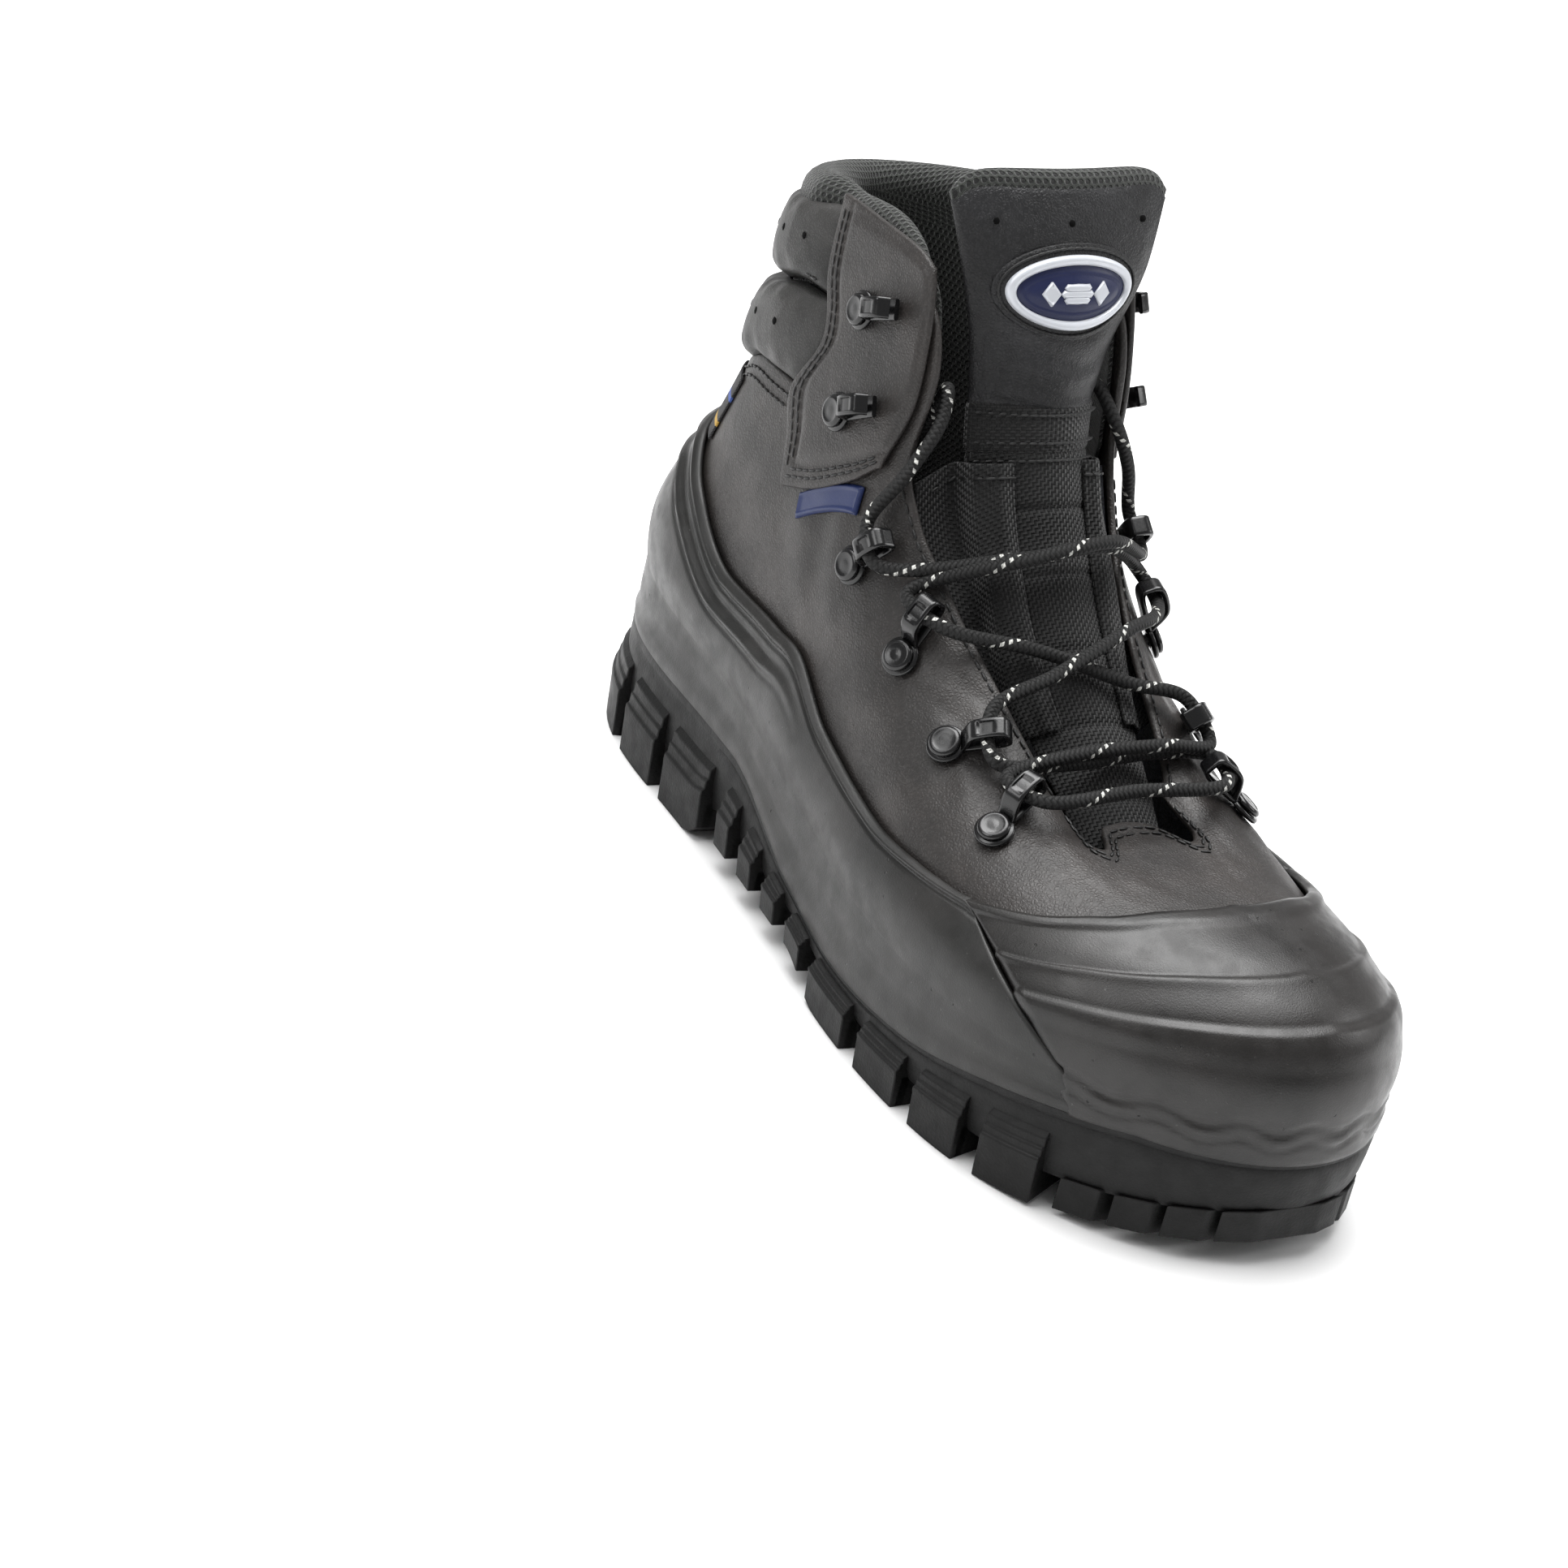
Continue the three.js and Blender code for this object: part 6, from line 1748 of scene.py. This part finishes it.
@dataclass(frozen=True)
class Label:
    """A small patch on the leather with four corners on the last.

    Attributes:
        name: the piece.
        corners: (column, row), going round.
        thick: in mm.
        border: how much its border stands up, in mm.
    """

    name: str
    corners: tuple
    thick: float
    border: float
    finish: Finish
    slot: str
    node: str

    def make(self) -> None:
        """The patch: its corners blended both ways, with a raised border or a flat face."""
        a, b, c, d = (np.array(p, float) for p in self.corners)
        u, v = np.linspace(0, 1, 48)[:, None, None], np.linspace(0, 1, 24)[None, :, None]
        place = mix(mix(a, b, u), mix(d, c, u), v)
        mm = LAST.point(place[..., 0], place[..., 1])
        long, short = lengths_along(mm[:, 0])[-1], lengths_along(mm[0])[-1]
        margin = np.minimum(np.minimum(u, 1 - u) * long, np.minimum(v, 1 - v) * short)[..., 0]
        height = 0.3 + self.thick + self.border * (1 - smooth((margin - 0.7) / 0.5)) * smooth(margin / 0.3)
        piece = Piece(self.name)
        piece.slab(LAST.on(place[..., 0], place[..., 1], height), LAST.on(place[..., 0], place[..., 1], 0.2), lip=3)
        piece.make(self.finish, slot=self.slot, replaces=(self.node,))


# ---- Studio ----


@dataclass
class Studio:
    """A plain pale floor, soft light from above and both sides, and the camera."""

    eye: tuple[float, float, float] = (1108.0, -794.1, 678.7)
    right: tuple[float, float, float] = (0.52406, 0.81604, 0.24380)
    down: tuple[float, float, float] = (0.49402, -0.05808, -0.86751)
    ahead: tuple[float, float, float] = (-0.69376, 0.57507, -0.43357)
    aside: tuple[float, float] = (-0.04575, 0.01909)
    lens: float = 124.3

    def make_camera(self) -> None:
        """The camera: it looks ahead, turned a little aside, so that the boot stands where it does in its frame."""
        right, down, ahead = (np.array(v) for v in (self.right, self.down, self.ahead))
        look = unit(ahead + self.aside[0] * right + self.aside[1] * down)
        right = unit(right - look * np.dot(right, look))
        up = np.cross(right, look)
        data = bpy.data.cameras.new("camera")
        data.lens, data.sensor_width, data.clip_start, data.clip_end = self.lens, 36.0, 0.05, 60.0
        camera = bpy.data.objects.new("camera", data)
        matrix = Matrix.Identity(4)
        for k, axis in enumerate((right, up, -look)):
            matrix.col[k][:3] = axis
        matrix.col[3][:3] = LAST.place(np.array(self.eye))
        camera.matrix_world = matrix
        bpy.context.scene.collection.objects.link(camera)
        bpy.context.scene.camera = camera

    def make_lamp(self, name: str, at: tuple[float, float, float], size: float, watts: float) -> None:
        """A square soft lamp that faces the boot."""
        data = bpy.data.lights.new(name, "AREA")
        data.shape, data.size, data.energy = "SQUARE", size, watts
        lamp = bpy.data.objects.new(name, data)
        back = unit(np.array(at) - np.array([0.0, 0.0, 0.08]))
        side = unit(np.cross([0.0, 0.0, 1.0], back))
        matrix = Matrix.Identity(4)
        for k, axis in enumerate((side, np.cross(back, side), back)):
            matrix.col[k][:3] = axis
        matrix.col[3][:3] = at
        lamp.matrix_world = matrix
        bpy.context.scene.collection.objects.link(lamp)

    def make(self) -> None:
        """The floor, the lamps and the surrounding light."""
        mesh = bpy.data.meshes.new("floor")
        mesh.from_pydata([(-9, -9, 0), (9, -9, 0), (9, 9, 0), (-9, 9, 0)], [], [(0, 1, 2, 3)])
        floor = bpy.data.objects.new("floor", mesh)
        mesh.materials.append(Finish("studio floor, matt white", "#f4f4f4", 0.9).material())
        bpy.context.scene.collection.objects.link(floor)
        self.make_lamp("top", (-0.25, 0.1, 1.25), 0.9, 16)
        self.make_lamp("key", (-0.1, -1.3, 1.1), 0.7, 7)
        self.make_lamp("rim", (0.5, 1.4, 0.9), 0.7, 6)
        sun = bpy.data.objects.new("sky", bpy.data.lights.new("sky", "SUN"))
        sun.data.energy, sun.data.angle = 3.0, 1.2
        sun.rotation_euler = (0.0, -0.25, 0.0)
        bpy.context.scene.collection.objects.link(sun)
        world = bpy.data.worlds.new("studio")
        world.use_nodes = True
        world.node_tree.nodes["Background"].inputs[0].default_value = (1, 1, 1, 1)
        world.node_tree.nodes["Background"].inputs[1].default_value = 0.36
        bpy.context.scene.world = world
        bpy.context.scene.view_settings.view_transform = "Standard"


KEPT: dict[str, Finish] = {
    "steel_toe_cap": STEEL_SHEET,
    "puncture_plate": STEEL_SHEET,
    "heel_counter": BOARD_FIBRE,
    "insole_board": BOARD_FIBRE,
    "vamp_lining": LINING_CLOTH,
    "footbed": FOOTBED_FELT,
    "aglet_outer": GLOSS_NYLON,
    "aglet_inner": GLOSS_NYLON,
}


def dress_kept(nodes: dict[str, bpy.types.Object]) -> None:
    """Gives the inner layers and the lace's tips, whose CAD shape is right, their finishes."""
    for name, finish in KEPT.items():
        obj = nodes[name]
        if not obj.material_slots:
            obj.data.materials.append(None)
        for slot in obj.material_slots:
            slot.material = finish.material()
        LOG.info("%s: kept, %s", name, finish.name)


def main() -> None:
    """Builds the boot: camera and lace, then the sole, the upper, the tongue, the hardware and the studio."""
    logging.basicConfig(level=logging.INFO, format="%(message)s")
    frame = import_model()
    studio = Studio()
    studio.make_camera()
    lacing = Lacing()
    lacing.make_lace()
    Sole().make()
    upper = Upper()
    upper.make()
    for side in Side:
        AnklePanel(side).make()
    Collar(upper).make()
    Tongue().make()
    lacing.make()
    side_label = ((7.82, 2.46), (7.12, 3.3), (7.24, 3.5), (7.93, 2.64))
    Label("label_side", side_label, 0.8, 0.5, LABEL_RUBBER, "label", "side_label").make()
    heel_tag = ((9.62, 2.2), (9.62, 2.9), (10.1, 2.9), (10.1, 2.2))
    Label("tag_heel", heel_tag, 0.7, 0.0, TAG_RIBBON, "tag", "heel_tag").make()
    dress_kept(frame["nodes"])
    studio.make()


if __name__ == "__main__":
    main()
